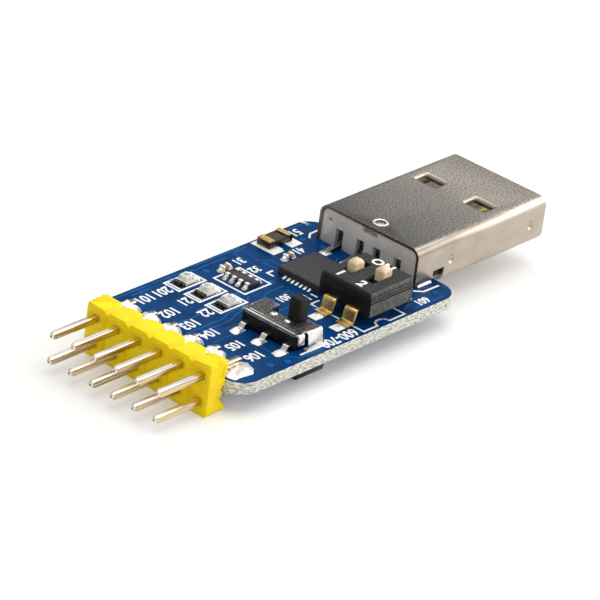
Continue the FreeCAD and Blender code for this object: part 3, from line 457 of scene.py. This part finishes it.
# dark tin: painted shade where the plug's contacts stand in their slots; also the dark lamp ends
darkTin = makeSheet("darkTinPlate", "#1f1f20", "#6f6d69", 0.35, 0.3, 0.3)
dullTin = makeSheet("dullTinnedBronze", "#77756f", "#c9c7c1", 0.3, 0.3, 0.3)
switchTerminalTin = makeSheet("tinPlatedBronze", "#cfccc5", "#f2f0ea", 0.2, 0.28, 0.2)
plugPlastic = makeMoulded("mouldedGreyPolyester", "#cfccc8", "#dfdbd7", 2.0, 0.5, 0.12, 0.2)
switchPlastic = makeMoulded("mouldedBlackPolyester", "#0b0b0d", "#161618", 1.2, 0.4, 0.14, 0.7,
                            shine=0.2)
roughPlastic = makeMoulded("cutBlackPolyester", "#2d2e2e", "#595b59", 0.35, 0.6, 0.16, 1.0)
switchLidPlastic = makeMoulded("mouldedDarkPolyester", "#1c1d1f", "#2b2c2f", 0.3, 0.48, 0.14, 0.9,
                               shine=0.3)
sliderPlastic = makeMoulded("mouldedCreamNylon", "#d3ba8c", "#f1dfba", 0.8, 0.4, 0.2, 0.2)
chipEpoxy = makeMoulded("mouldedEpoxy", "#2a2a2e", "#38383c", 0.5, 0.6, 0.1, 0.5, 1.55, 0.35)
underEpoxy = makeMoulded("polishedEpoxy", "#060607", "#0d0d0f", 0.6, 0.25, 0.3, 0.5, 1.55, 0.25)
arrayGlass = makeMoulded("resistorOvercoat", "#0b0c0e", "#17181b", 0.6, 0.25, 0.3, 0.3, 1.52)
capacitorCeramic = makeMoulded("firedCeramic", "#8d6c48", "#b08b5e", 0.4, 0.4, 0.15, 0.3, 1.6)
fuseBoard = makeMoulded("fuseLaminate", "#0c0705", "#3b2a14", 0.3, 0.28, 0.25, 0.6)
lampBoard = makeMoulded("whiteLampLaminate", "#d9d8cc", "#f3f2e8", 0.5, 0.45, 0.2, 0.2)
lampResin = makeLampResin("castLampResin", "#c4c6b8", "#eceee4", "#fefefa")
lampWindow = makeLampResin("lampWindowResin", "#6d7064", "#a3a99b", "#d2d6c9")
print("materials made:", len(bpy.data.materials))


# Circuit board

boardX0, boardX1 = (corner.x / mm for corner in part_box("circuit_board"))
boardUnder, boardTop = (corner.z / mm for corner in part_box("circuit_board"))
lampRows = (7.2, 4.65, 2.1)  # y of the three indicator lamps


def makeBoard():
    bm = softMesh("circuit_board", 0.05, 1, 50)
    paintFaces(bm, 1, lambda normal, middle: abs(normal.z) <= 0.9)  # the routed edge
    finishMesh("circuitBoard", bm, [solderMask, laminateEdge],
               ["circuit_board"], 30)


def makeTracks():
    # tracks that run under the mask; x from the board's header edge, y from its middle line;
    # the underside has the same ones, mirrored
    tracks = {"width": 0.15, "rise": 0.016, "sunk": 0.01, "lines": [
        [(1.2, 8.75), (10.5, 8.75), (13.2, 8.3), (17.5, 8.3)],
        [(4.6, 8.25), (9.5, 8.25), (12.2, 7.95)],
        [(3.4, 0.4), (8.2, 0.4), (9.6, 0.9), (12.0, 0.9), (13.4, 2.0)],
        [(3.6, -0.2), (8.6, -0.2), (10.2, 0.35), (13.6, 0.35), (15.2, 1.4), (17.6, 1.4)],
        [(6.9, -1.0), (13.2, -1.0), (14.6, 0.0), (17.4, 0.6)],
        [(4.2, -2.1), (6.3, -2.1), (6.9, -2.4)],
        [(7.1, -4.6), (7.1, -7.2), (8.6, -8.6), (17.0, -8.6)],
        [(18.5, 5.2), (18.5, 8.4), (20.6, 8.7)],
        [(26.4, 8.7), (29.2, 8.7)],
        [(13.6, 8.9), (20.0, 8.9)],
        [(12.9, -1.6), (14.9, -1.6), (16.2, -1.2), (17.6, -1.2)],
        [(24.9, 1.6), (26.0, 2.1), (26.0, 3.2)],
        [(24.9, 0.6), (26.1, 0.6)],
        [(19.6, 3.9), (19.6, 5.0)],
        [(20.4, 3.9), (20.4, 5.4), (19.3, 6.4)],
        [(28.4, -7.9), (28.4, -8.6), (24.4, -8.6)],
        [(3.9, 2.2), (7.0, 2.2), (7.6, 2.9), (9.0, 2.9)]]}
    bm = bmesh.new()
    for line in tracks["lines"]:
        addStrip(bm, [(boardX0 + x, y) for x, y in line], tracks["width"],
                 boardTop - tracks["sunk"], boardTop + tracks["rise"])
        addStrip(bm, [(boardX1 - x, y) for x, y in line], tracks["width"],
                 boardUnder + tracks["sunk"], boardUnder - tracks["rise"])
    finishMesh("maskedTracks", bm, [maskOverCopper])


def makeVias():
    # small through holes closed by the mask: a raised ring round a shallow dark dimple
    vias = {"outer": 0.32, "inner": 0.15, "rise": 0.03, "dimple": 0.004, "steps": 16, "spots": [
        (13.9, 7.6), (19.6, 5.4), (9.9, 8.3), (14.7, 0.4), (12.9, -1.6), (7.1, -8.4), (17.3, 2.6),
        (26.6, 4.4), (26.2, 6.6), (28.9, 8.3), (28.4, -7.7), (3.9, 2.2), (5.3, -7.9), (12.9, 2.9),
        (16.8, -3.2), (20.5, -8.3), (22.3, 7.0), (11.6, -1.0)]}
    rings = [(vias["outer"], 0.0), (vias["outer"] * 0.8, vias["rise"]),
             (vias["inner"] * 1.3, vias["rise"]), (vias["inner"], vias["dimple"])]
    bm = bmesh.new()
    for x, y in vias["spots"]:
        for level, hand in ((boardTop, 1), (boardUnder, -1)):
            rows = [[bm.verts.new((boardX0 + x + radius * dx, y + radius * dy, level + hand * rise))
                     for dx, dy in circle(vias["steps"])] for radius, rise in rings]
            joinRows(bm, rows)
            bm.faces.new(rows[-1])
    finishMesh("coveredVias", bm, [maskOverCopper])


def makeLegend():
    # outlines and plain figures; x from the board's header edge, y from its middle line
    legend = {"line": 0.2, "heavy": 0.22, "thickness": 0.02, "weight": 0.04, "figures": [
        ("101", 5.2, 7.2, 1.25), ("201", 7.48, 7.2, 1.2), ("102", 5.1, 4.1, 1.25),
        ("21", 7.8, 4.7, 1.2), ("103", 5.0, 1.5, 1.25), ("22", 7.8, 2.15, 1.2),
        ("104", 5.15, -0.7, 1.2), ("105", 5.4, -3.55, 1.15), ("106", 5.35, -5.9, 1.2),
        ("31", 17.8, 7.15, 1.05), ("32", 17.8, 5.2, 1.0), ("301", 15.8, -0.15, 0.95),
        ("41", 24.05, 5.3, 1.05), ("51", 26.55, 7.95, 1.15), ("5", 28.85, 8.8, 0.75),
        ("600-700", 14.15, -8.2, 1.2), ("601", 26.0, -8.05, 0.95)],
        "lines": [
            [(17.0, -2.4), (17.0, -8.75), (18.9, -8.75), (19.15, -8.25), (19.55, -8.05),
             (20.0, -8.05), (20.4, -8.25), (20.65, -8.75), (22.75, -8.75), (22.75, -7.3)],
            [(17.0, -2.4), (18.2, -2.4)],
            [(17.7, -0.8), (17.7, -1.9)],
            [(18.5, -1.1), (18.5, -1.9)]],
        "lampBox": {"left": 8.85, "right": 12.42, "below": 0.86, "above": 0.98},
        "lampBar": {"at": 9.2, "below": 0.8, "above": 0.9},
        "heavyLines": [
            [(23.0, 6.35), (23.0, 7.0)],
            [(26.85, -6.3), (27.6, -6.95), (29.7, -7.0)],
            [(26.85, 6.4), (27.6, 6.95), (29.7, 7.0)],
            [(8.9, -8.25), (11.6, -8.25)]]}
    bm = bmesh.new()

    def draw(points, width=legend["line"], closed=False):
        addStrip(bm, [(boardX0 + x, y) for x, y in points], width, boardTop,
                 boardTop + legend["thickness"], closed)

    box, bar = legend["lampBox"], legend["lampBar"]
    for row in lampRows:
        low, high = row - box["below"], row + box["above"]
        draw([(box["left"], low), (box["right"], low), (box["right"], high), (box["left"], high)],
             legend["heavy"], closed=True)
        draw([(bar["at"], row - bar["below"]), (bar["at"], row + bar["above"])], legend["heavy"])
    draw([(13.4, 2.4), (16.9, 2.4), (16.9, 6.2), (13.4, 6.2)], closed=True)
    draw([(18.25, 3.2), (18.25, 4.0), (19.05, 4.0)], legend["heavy"])
    for line in legend["lines"]:
        draw(line)
    for line in legend["heavyLines"]:
        draw(line, legend["heavy"])
    for words, x, y, height in legend["figures"]:
        addText(bm, words, height, (boardX0 + x, y), boardTop, 180, legend["thickness"],
                legend["weight"])
    finishMesh("boardLegend", bm, [legendInk])


makeBoard()
makeTracks()
makeVias()
makeLegend()
print("board dressed")


# Pin header

headerPitch = 2.54
pinRow = [(2.5 - number) * headerPitch for number in range(6)]  # y of the six cells


def ragged(spot, waves):
    # waves: how many to a millimetre, and how tall
    return sum(noise.noise(spot * often) * tall for often, tall in waves)


def tearEnds(bm, torn, top):
    # both ends, by height: back along the rear edge, and up to a ragged lip on the top
    for vertex in bm.verts:
        spot = vertex.co
        if abs(spot.y) <= torn["from"]:
            continue
        share = min(1.0, max(0.0, 1.0 - (boardX0 - spot.x) / torn["reach"]))
        steps = zip(torn["profile"], torn["profile"][1:])
        low, high = next((pair for pair in steps if pair[0][0] <= spot.z <= pair[1][0]),
                         torn["profile"][-2:])
        part = (spot.z - low[0]) / (high[0] - low[0])
        edge = low[1] + (high[1] - low[1]) * min(1.0, max(0.0, part))
        tear = ragged(spot, torn["tear"]) * (0.3 + share)
        teeth = ragged(spot, torn["teeth"])
        lift = max(0.0, 1.0 - (top - spot.z) / torn["lipDepth"])
        rise = torn["lip"]["near" if spot.y < 0 else "far"]
        rise *= torn["lipMean"] + ragged(spot, torn["lipTeeth"])
        spot.y -= math.copysign(abs(tear) + max(0.0, -edge) * share * torn["undercut"], spot.y)
        spot.x += (edge + teeth) * share ** 2
        spot.z += max(0.0, rise) * lift ** 2


def makeHeader():
    # the strip was snapped off a longer one; profile: height on the rear edge, and how far
    # the tear stands out there
    torn = {"from": 7.15, "reach": 1.5, "cuts": 27, "shortest": 0.5,
            "lip": {"near": 0.2, "far": 0.3}, "lipDepth": 0.8, "lipMean": 0.5, "undercut": 0.3,
            "tear": [(3.1, 0.2)], "teeth": [(3.3, 0.4), (7.1, 0.2)],
            "lipTeeth": [(4.3, 1.0), (8.3, 0.8)],
            "profile": [(0.0, 0.08), (0.35, 0.32), (0.65, -0.1), (1.1, -0.34), (1.7, -0.22),
                        (2.1, -0.42), (2.6, -0.1), (3.1, 0.06), (3.5, -0.2), (4.0, 0.1),
                        (4.5, -0.05), (5.0, 0.12)]}
    bm = softMesh("header_insulator", 0.09, 2, 40)
    ends = [e for e in bm.edges if all(abs(v.co.y) > torn["from"] for v in e.verts)
            and e.calc_length() > torn["shortest"]]
    bmesh.ops.subdivide_edges(bm, edges=ends, cuts=torn["cuts"], use_grid_fill=True)
    tearEnds(bm, torn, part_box("header_insulator")[1].z / mm)
    finishMesh("headerInsulator", bm, [headerNylon], ["header_insulator"])
    makePinCollars()
    for row in ("top", "bottom"):
        for number in range(1, 7):
            bm = softMesh(f"pin_{row}_{number}", 0.09)
            # the ends are sheared through to the brass
            paintFaces(bm, 1, lambda normal, middle: abs(normal.x) > 0.95)
            # the two side faces get the warm copy, a painted reflection of the yellow insulator
            paintFaces(bm, 2, lambda normal, middle: abs(normal.y) > 0.8)
            finishMesh(f"headerPin{row.title()}{number}", bm, [tinnedPin, cutBrass, pinSidePaintedReflection],
                       [f"pin_{row}_{number}"])


def makePinCollars():
    # a low moulded ring about each pin, dished in to the metal
    collar = {"outer": 1.04, "crest": 0.93, "inner": 0.8, "floor": 0.5, "hole": 0.325,
              "rise": 0.07, "dish": 0.1, "hidden": 0.01, "steps": 32}
    rings = [(collar["outer"], collar["hidden"]), (collar["crest"], -collar["rise"]),
             (collar["inner"], -collar["hidden"]), (collar["floor"], collar["dish"] * 0.4)]
    face = boxOfNode("header_insulator")[0].x
    middle = (boardTop + boardUnder) / 2
    around = circle(collar["steps"])
    bm = bmesh.new()
    for y in pinRow:
        for z in (middle + headerPitch / 2, middle - headerPitch / 2):
            rows = [[bm.verts.new((face + depth, y + radius * dy, z + radius * dz))
                     for dy, dz in around] for radius, depth in rings]
            square = [(dy, dz, collar["hole"] / max(abs(dy), abs(dz))) for dy, dz in around]
            rows.append([bm.verts.new((face + collar["dish"], y + dy * reach, z + dz * reach))
                         for dy, dz, reach in square])
            joinRows(bm, rows)
    finishMesh("headerCollars", bm, [headerNylon], (), 60)


def makeHeaderSolder():
    # the last joint on top got less solder, so its tail stands clear of it
    bead = {"start": 0.5, "length": 2.9, "width": 1.85, "height": 1.2, "fall": 1.7,
            "wobble": 0.17, "lean": -0.55, "varyLength": 0.16, "varyHeight": 0.1}
    scant = {"joint": ("top", 5), "moved": (0.1, -0.45), "longer": 0.7, "width": 2.5,
             "height": 0.42, "fall": 2.0, "wobble": 0.14, "seed": 5.5}
    x = boardX0 + bead["start"] + bead["length"] / 2
    for side, level, hand in (("top", boardTop, 1), ("under", boardUnder, -1)):
        bm = bmesh.new()
        for number, y in enumerate(pinRow):
            vary = noise.noise(Vector((number * 3.7, hand * 2.0, 0.3)))
            length = bead["length"] * (1 + bead["varyLength"] * vary)
            if (side, number) == scant["joint"]:
                addMound(bm, (x + scant["moved"][0], y + scant["moved"][1]),
                         (length + scant["longer"], scant["width"]), scant["height"], level,
                         scant["fall"], scant["wobble"], scant["seed"])
            else:
                addMound(bm, (x, y), (length, bead["width"]),
                         bead["height"] * (1 + bead["varyHeight"] * vary), level, bead["fall"],
                         bead["wobble"], number * 2.3 + hand, rings=11, steps=30,
                         shift=(bead["lean"], 0.0))
        if hand < 0:
            for vertex in bm.verts:
                vertex.co.z = 2 * level - vertex.co.z
        finishMesh(f"headerSolder{side.title()}", bm, [headerSolder],
                   [f"header_solder_{side}"], 180)


makeHeader()
makeHeaderSolder()
print("pin header dressed")


# Plug

def makePlug():
    rear = boxOfNode("plug_shell")[0].x
    bm = softMesh("plug_shell", 0.04, 2, 40)
    # the sheet's cut end is bare steel; its dark colour is painted shade
    paintFaces(bm, 1, lambda normal, middle: normal.x < -0.9 and middle.x < rear + 0.02)
    finishMesh("plugShell", bm, [nickelSteel, shadedCutSteel], ["plug_shell"])
    bm = softMesh("plug_insulator", 0.06)
    # painted shade: the flanks behind the wall's notch get black plastic
    paintFaces(bm, 1, lambda normal, middle: abs(normal.y) > 0.9 and abs(middle.y) > 5.0)
    finishMesh("plugInsulator", bm, [plugPlastic, switchPlastic],
               ["plug_insulator"])
    for number in range(1, 5):
        # gold is flashed only on the blades; the tails are tinned for soldering, and where they
        # stand in the insulator's slots they get the dark tin as painted shade
        bm = softMesh(f"plug_contact_{number}", 0.03)
        paintFaces(bm, 2, lambda normal, middle: middle.x < rear + 2.5)
        paintFaces(bm, 1, lambda normal, middle: middle.x < rear - 0.1)
        finishMesh(f"plugContact{number}", bm, [goldFlash, dullTin, darkTin],
                   [f"plug_contact_{number}"])
    dressNode("plug_leg_solder", "plugLegSolder", headerSolder, 0.05)
    makeRivet(rear)


def makeRivet(rear):
    # the pressed ring on the roof: half a tube, a little flattened
    rivet = {"fromRear": 1.45, "ring": 0.64, "tube": 0.15, "flatness": 0.55, "sunk": 0.03,
             "steps": 36}
    top = boxOfNode("plug_shell")[1].z
    bm = bmesh.new()
    rows = []
    for dx, dz in circle(14)[:8]:
        radius = rivet["ring"] + rivet["tube"] * dx
        level = top - rivet["sunk"] + rivet["tube"] * rivet["flatness"] * dz
        rows.append([bm.verts.new((rear + rivet["fromRear"] + radius * x, radius * y, level))
                     for x, y in circle(rivet["steps"])])
    joinRows(bm, rows)
    finishMesh("plugRivetRing", bm, [rivetSteel], (), 180)


makePlug()
print("plug dressed")


# Switches

def makeTwoWaySwitch():
    for node, piece, plastic, width in (("dip_base", "switchBase", switchPlastic, 0.07),
                                        ("dip_lid", "switchLid", switchLidPlastic, 0.05)):
        bm = softMesh(node, width)
        # the two long sides were cut from the moulding's frame and stay rough
        paintFaces(bm, 1, lambda normal, middle: abs(normal.y) > 0.7)
        finishMesh(piece, bm, [plastic, roughPlastic], [node])
    low, high = boxOfNode("dip_lid")
    for number in (1, 2):
        slider = f"dip_slider_{number}"
        bm = softMesh(slider, 0.12, 3)
        # painted shade: the foot, down in the lid's slot, gets black plastic
        paintFaces(bm, 1, lambda normal, middle: middle.z < low.z + 0.02)
        finishMesh(f"switchSlider{number}", bm, [sliderPlastic, switchPlastic],
                   [slider], body=slider)
    for number in range(1, 5):
        dressNode(f"dip_lead_{number}", f"switchLead{number}", goldFlash, 0.04)
    marks = {"height": 1.1, "thickness": 0.015, "weight": 0.055, "figures": [
        ("1", low.x + 0.85, -4.05), ("2", low.x + 0.85, -6.6), ("ON", high.x - 0.62, -5.3)]}
    bm = bmesh.new()
    for words, x, y in marks["figures"]:
        addText(bm, words, marks["height"], (x, y), high.z, -90, marks["thickness"],
                marks["weight"], 1.0)
    finishMesh("switchMarks", bm, [legendInk])
    makeSwitchSeam(low, high)


def makeSwitchSeam(low, high):
    # two fine ribs along each long side, just under the lid
    ribs = {"drops": (0.12, 0.42), "height": 0.14, "proud": 0.09, "sunk": 0.01, "ends": 0.12}
    nearSide, farSide = (corner.y for corner in boxOfNode("dip_base"))
    bm = bmesh.new()
    for y, hand in ((nearSide, -1), (farSide, 1)):
        for drop in ribs["drops"]:
            top = low.z - drop
            points = [(out, top - share * ribs["height"]) for out, share in
                      ((0.0, 0.0), (ribs["proud"], 0.35), (ribs["proud"], 0.65), (0.0, 1.0))]
            rows = [[bm.verts.new((x, y + hand * (out - ribs["sunk"]), z)) for out, z in points]
                    for x in (low.x + ribs["ends"], high.x - ribs["ends"])]
            for k in range(3):
                bm.faces.new((rows[0][k], rows[1][k], rows[1][k + 1], rows[0][k + 1]))
            bm.faces.new(rows[0])
            bm.faces.new(rows[1])
    finishMesh("switchRibs", bm, [switchPlastic])


def makeSlideSwitch():
    dressNode("slide_base", "slideBase", switchPlastic, 0.05)
    dressNode("slide_cover", "slideCover", tinnedSteel, 0.05, 2, 40)
    # the bright lower hem of the cover; low and high are measured from the board
    hem = {"width": 0.1, "inset": 0.04, "ends": 0.15, "low": 1.38, "high": 1.47}
    low, high = boxOfNode("slide_base")
    x = low.x + hem["inset"] + hem["width"] / 2
    bm = bmesh.new()
    addStrip(bm, [(x, low.y + hem["ends"]), (x, high.y - hem["ends"])], hem["width"],
             boardTop + hem["low"], boardTop + hem["high"])
    finishMesh("slideCoverHem", bm, [tinnedSteel])
    dressNode("slide_knob", "slideKnob", switchPlastic, 0.08, body="slide_knob")
    dressNode("slide_terminals", "slideTerminals", switchTerminalTin, 0.03, 1)


makeTwoWaySwitch()
makeSlideSwitch()
print("switches dressed")


# Chips and small parts

def makeChips():
    dressNode("bridge_chip_body", "bridgeChip", chipEpoxy, 0.05)
    dressNode("bridge_chip_toes", "bridgeChipToes", padTin, 0.03, 1)
    for name in ("line", "bus"):
        dressNode(f"{name}_driver_body", f"{name}DriverBody", underEpoxy, 0.05)
        dressNode(f"{name}_driver_leads", f"{name}DriverLeads", switchTerminalTin,
                  0.03, 1)


def darkenLampEnds(bm):
    # faces at the lamps' ends toward the header get the dark tin
    ends = {"from": 9.2, "to": 10.75, "nearest": 1.2, "farthest": 8.2}
    for face in bm.faces:
        spot = face.calc_center_median()
        along = ends["from"] < spot.x - boardX0 < ends["to"]
        if along and ends["nearest"] < spot.y < ends["farthest"]:
            face.material_index = 1


def makeLamps():
    window = {"rim": 0.2, "sunk": 0.06}
    for number in range(1, 4):
        dressNode(f"lamp_base_{number}", f"lampBase{number}", lampBoard, 0.03, 1)
        bm = meshOfNode(f"lamp_lens_{number}")
        bm.normal_update()
        faces = [face for face in bm.faces if face.normal.z > 0.9]
        bmesh.ops.inset_region(bm, faces=faces, thickness=window["rim"], depth=-window["sunk"])
        for face in faces:
            face.material_index = 1
        softenEdges(bm, 0.05)
        finishMesh(f"lampLens{number}", bm, [lampResin, lampWindow],
                   [f"lamp_lens_{number}"])
    bm = softMesh("lamp_ends", 0.04)
    darkenLampEnds(bm)
    finishMesh("lampEnds", bm, [padTin, darkTin], ["lamp_ends"])


def makeFuse():
    dressNode("fuse_body", "fuseBody", fuseBoard, 0.05)
    bm = softMesh("fuse_caps", 0.04)
    paintFaces(bm, 1, lambda normal, middle: normal.z < 0.5)  # only the upper lands are gilt
    finishMesh("fuseCaps", bm, [goldFlash, fuseBoard], ["fuse_caps"])
    lands = {"width": 0.62, "inset": 0.1, "ends": 0.03, "sunk": 0.02, "thickness": 0.05}
    low, high = boxOfNode("fuse_caps")
    margin = lands["inset"] + lands["width"] / 2
    bm = bmesh.new()
    for x in (low.x + margin, high.x - margin):
        addStrip(bm, [(x, low.y + lands["ends"]), (x, high.y - lands["ends"])], lands["width"],
                 high.z - lands["sunk"], high.z + lands["thickness"])
    finishMesh("fuseLands", bm, [goldFlash])


def makeSmallParts():
    for node, piece, material, slot, width, segments in (
            ("resistor_array_body", "resistorArray", arrayGlass, "resistor_ceramic", 0.05, 2),
            ("resistor_array_caps", "resistorArrayCaps", padTin, "end_caps", 0.03, 1),
            ("small_chip_bodies", "smallChips", capacitorCeramic, "capacitor_ceramic", 0.05, 2),
            ("small_chip_caps", "smallChipCaps", padTin, "end_caps", 0.04, 2),
            ("under_chip_bodies", "underChips", capacitorCeramic, "capacitor_ceramic", 0.05, 2),
            ("under_chip_caps", "underChipCaps", padTin, "end_caps", 0.04, 2)):
        dressNode(node, piece, material, width, segments)


def makePads():
    bm = softMesh("pads_top", 0.02, 1)
    darkenLampEnds(bm)
    finishMesh("padsTop", bm, [padTin, darkTin], ["pads_top"])
    dressNode("pads_under", "padsUnder", padTin, 0.02, 1)


def makeFillets():
    # solder drawn up against each end, foot and terminal: length, width and height of a heap;
    # x from the board's header edge, y from its middle line, hand the way it leans
    heaps = {"lampFront": (0.8, 1.2, 0.3), "lampBack": (0.42, 1.0, 0.24),
             "array": (0.62, 0.5, 0.34), "capacitor": (0.62, 0.66, 0.36),
             "terminal": (1.35, 1.0, 0.3), "contact": (0.95, 1.05, 0.24), "lead": (1.7, 1.15, 0.14),
             "fall": 2.2, "wobble": 0.12, "lean": 0.18, "padHeight": 0.03}
    bm = bmesh.new()
    seed = 0.0

    def heap(kind, x, y, hand=0):
        nonlocal seed
        seed += 1.37
        length, width, height = heaps[kind]
        addMound(bm, (boardX0 + x, y), (length, width), height, boardTop + heaps["padHeight"],
                 heaps["fall"], heaps["wobble"], seed, rings=6, steps=18,
                 shift=(-hand * length * heaps["lean"], 0.0))

    for y in lampRows:
        heap("lampFront", 11.82, y, 1)
        heap("lampBack", 9.9, y, -1)
    for y in (3.1, 3.9, 4.7, 5.5):
        for hand in (1, -1):
            heap("array", 15.1 + hand * 0.98, y, hand)
    for x, y in ((15.45, 6.72), (22.05, 4.8)):
        for hand in (1, -1):
            heap("capacitor", x + hand * 0.58, y, hand)
    for y in (-1.86, -4.4, -6.94):
        heap("terminal", 7.55, y, -1)
    for y in (3.5, 1.0, -1.0, -3.5):
        heap("contact", 25.8, y)
    for y in (-4.3, -6.84):
        heap("lead", 16.4, y, -1)
    darkenLampEnds(bm)
    finishMesh("solderFillets", bm, [headerSolder, darkTin], (), 180)


makeChips()
makeLamps()
makeSmallParts()
makeFuse()
makePads()
makeFillets()
print("chips and small parts dressed")


# Floor, light and camera

def makeFloor():
    # white studio sweep: it stays white to the eye and keeps the object's soft shadow
    floor = {"half": 1.6, "colour": "#e7e7e6", "glow": 0.16}
    mesh = bpy.data.meshes.new("studioFloor")
    h = floor["half"]
    mesh.from_pydata([(-h, -h, 0), (h, -h, 0), (h, h, 0), (-h, h, 0)], [], [(0, 1, 2, 3)])
    material, tree = startMaterial("paintedBoardWhite")
    path = addNode(tree, "ShaderNodeLightPath").outputs
    seen = addMath(tree, "MAXIMUM", path["Is Camera Ray"], path["Is Glossy Ray"])
    seen = addMath(tree, "MAXIMUM", seen, path["Is Transmission Ray"])
    glow = addMath(tree, "MULTIPLY", seen, floor["glow"])
    matt = addNode(tree, "ShaderNodeBsdfDiffuse", None, {"Color": linearColour(floor["colour"])})
    light = addNode(tree, "ShaderNodeEmission", None,
                    {"Color": linearColour("#ffffff"), "Strength": glow})
    both = addNode(tree, "ShaderNodeAddShader", None, {0: matt.outputs[0], 1: light.outputs[0]})
    endMaterial(tree, both)
    mesh.materials.append(material)
    plane = bpy.data.objects.new("studioFloor", mesh)
    scene.collection.objects.link(plane)


def makeWorld():
    # a pale room: soft light overhead, white on the camera's side, and dark low down behind
    room = {"front": [(0.0, 0.75), (0.2, 0.6), (0.5, 0.45), (0.8, 0.55), (1.0, 0.7)],
            "back": [(0.0, 0.05), (0.16, 0.07), (0.3, 0.6), (0.4, 1.0), (0.6, 0.9), (0.8, 0.6),
                     (1.0, 0.7)],
            "towardCamera": (-0.79, -0.61, 0.0), "blend": (-0.5, 0.1)}
    world = bpy.data.worlds.new("studio")
    scene.world = world
    world.use_nodes = True
    tree = world.node_tree
    tree.nodes.clear()
    place = addNode(tree, "ShaderNodeTexCoord").outputs["Generated"]
    height = addNode(tree, "ShaderNodeSeparateXYZ", None, {0: place}).outputs[2]
    front = addRamp(tree, height, room["front"])
    back = addRamp(tree, height, room["back"])
    toward = addNode(tree, "ShaderNodeVectorMath", {"operation": "DOT_PRODUCT"},
                     {0: place, 1: room["towardCamera"]})
    share = addRange(tree, toward.outputs["Value"], room["blend"], smooth=True)
    bands = addMix(tree, share, back, front)
    path = addNode(tree, "ShaderNodeLightPath")
    around = addNode(tree, "ShaderNodeBackground", None, {"Color": bands, "Strength": 1.0})
    white = addNode(tree, "ShaderNodeBackground", None,
                    {"Color": linearColour("#ffffff"), "Strength": 1.0})
    mixed = addNode(tree, "ShaderNodeMixShader", None,
                    {0: path.outputs["Is Camera Ray"], 1: around.outputs[0], 2: white.outputs[0]})
    addNode(tree, "ShaderNodeOutputWorld", None, {"Surface": mixed.outputs[0]})


def makeLights():
    lamps = [
        {"name": "overheadSoftbox", "at": (0.05, 0.02, 0.38), "aim": (0.0, 0.0, 0.0),
         "size": (0.42, 0.42), "power": 0.88, "colour": "#fffcf6"},
        {"name": "frontFill", "at": (0.12, -0.36, 0.24), "aim": (0.0, 0.0, 0.0),
         "size": (0.2, 0.2), "power": 0.27, "colour": "#ffffff"},
        {"name": "rightStrip", "at": (0.34, -0.05, 0.12), "aim": (0.0, 0.0, 0.0),
         "size": (0.2, 0.16), "power": 0.3, "colour": "#fffdf8"},
        {"name": "sideStrip", "at": (0.271, -0.177, 0.135), "aim": (0.015, 0.0, 0.004),
         "size": (0.15, 0.25), "power": 0.26, "colour": "#fffdf8"}]
    for lamp in lamps:
        light = bpy.data.lights.new(lamp["name"], "AREA")
        light.shape = "RECTANGLE"
        light.size, light.size_y = lamp["size"]
        light.energy = lamp["power"]
        light.color = linearColour(lamp["colour"])[:3]
        holder = bpy.data.objects.new(lamp["name"], light)
        holder.location = lamp["at"]
        towards = Vector(lamp["aim"]) - Vector(lamp["at"])
        holder.rotation_euler = towards.to_track_quat("-Z", "Y").to_euler()
        scene.collection.objects.link(holder)


def makeCamera():
    # angles in degrees, distance and aim in millimetres, as fitted to the photo
    shot = {"azimuth": -52.41, "elevation": 27.27, "roll": 8.08, "distance": 408.345,
            "aim": (-0.896, -0.131, 2.119), "lens": 270.0, "sensor": 36.0}
    lens = bpy.data.cameras.new("photoCamera")
    lens.lens = shot["lens"]
    lens.sensor_width = shot["sensor"]
    lens.clip_start = 0.01
    lens.clip_end = 20.0
    camera = bpy.data.objects.new("photoCamera", lens)
    turn, lift = math.radians(shot["azimuth"]), math.radians(shot["elevation"])
    flat = math.cos(lift)
    back = Vector((math.sin(turn) * flat, -math.cos(turn) * flat, math.sin(lift)))
    camera.location = (Vector(shot["aim"]) + back * shot["distance"]) * mm
    camera.rotation_mode = "QUATERNION"
    level = (-back).to_track_quat("-Z", "Y")
    camera.rotation_quaternion = level @ Quaternion((0, 0, 1), math.radians(shot["roll"]))
    scene.collection.objects.link(camera)
    scene.camera = camera


makeFloor()
makeWorld()
makeLights()
makeCamera()
scene.view_settings.view_transform = "Standard"
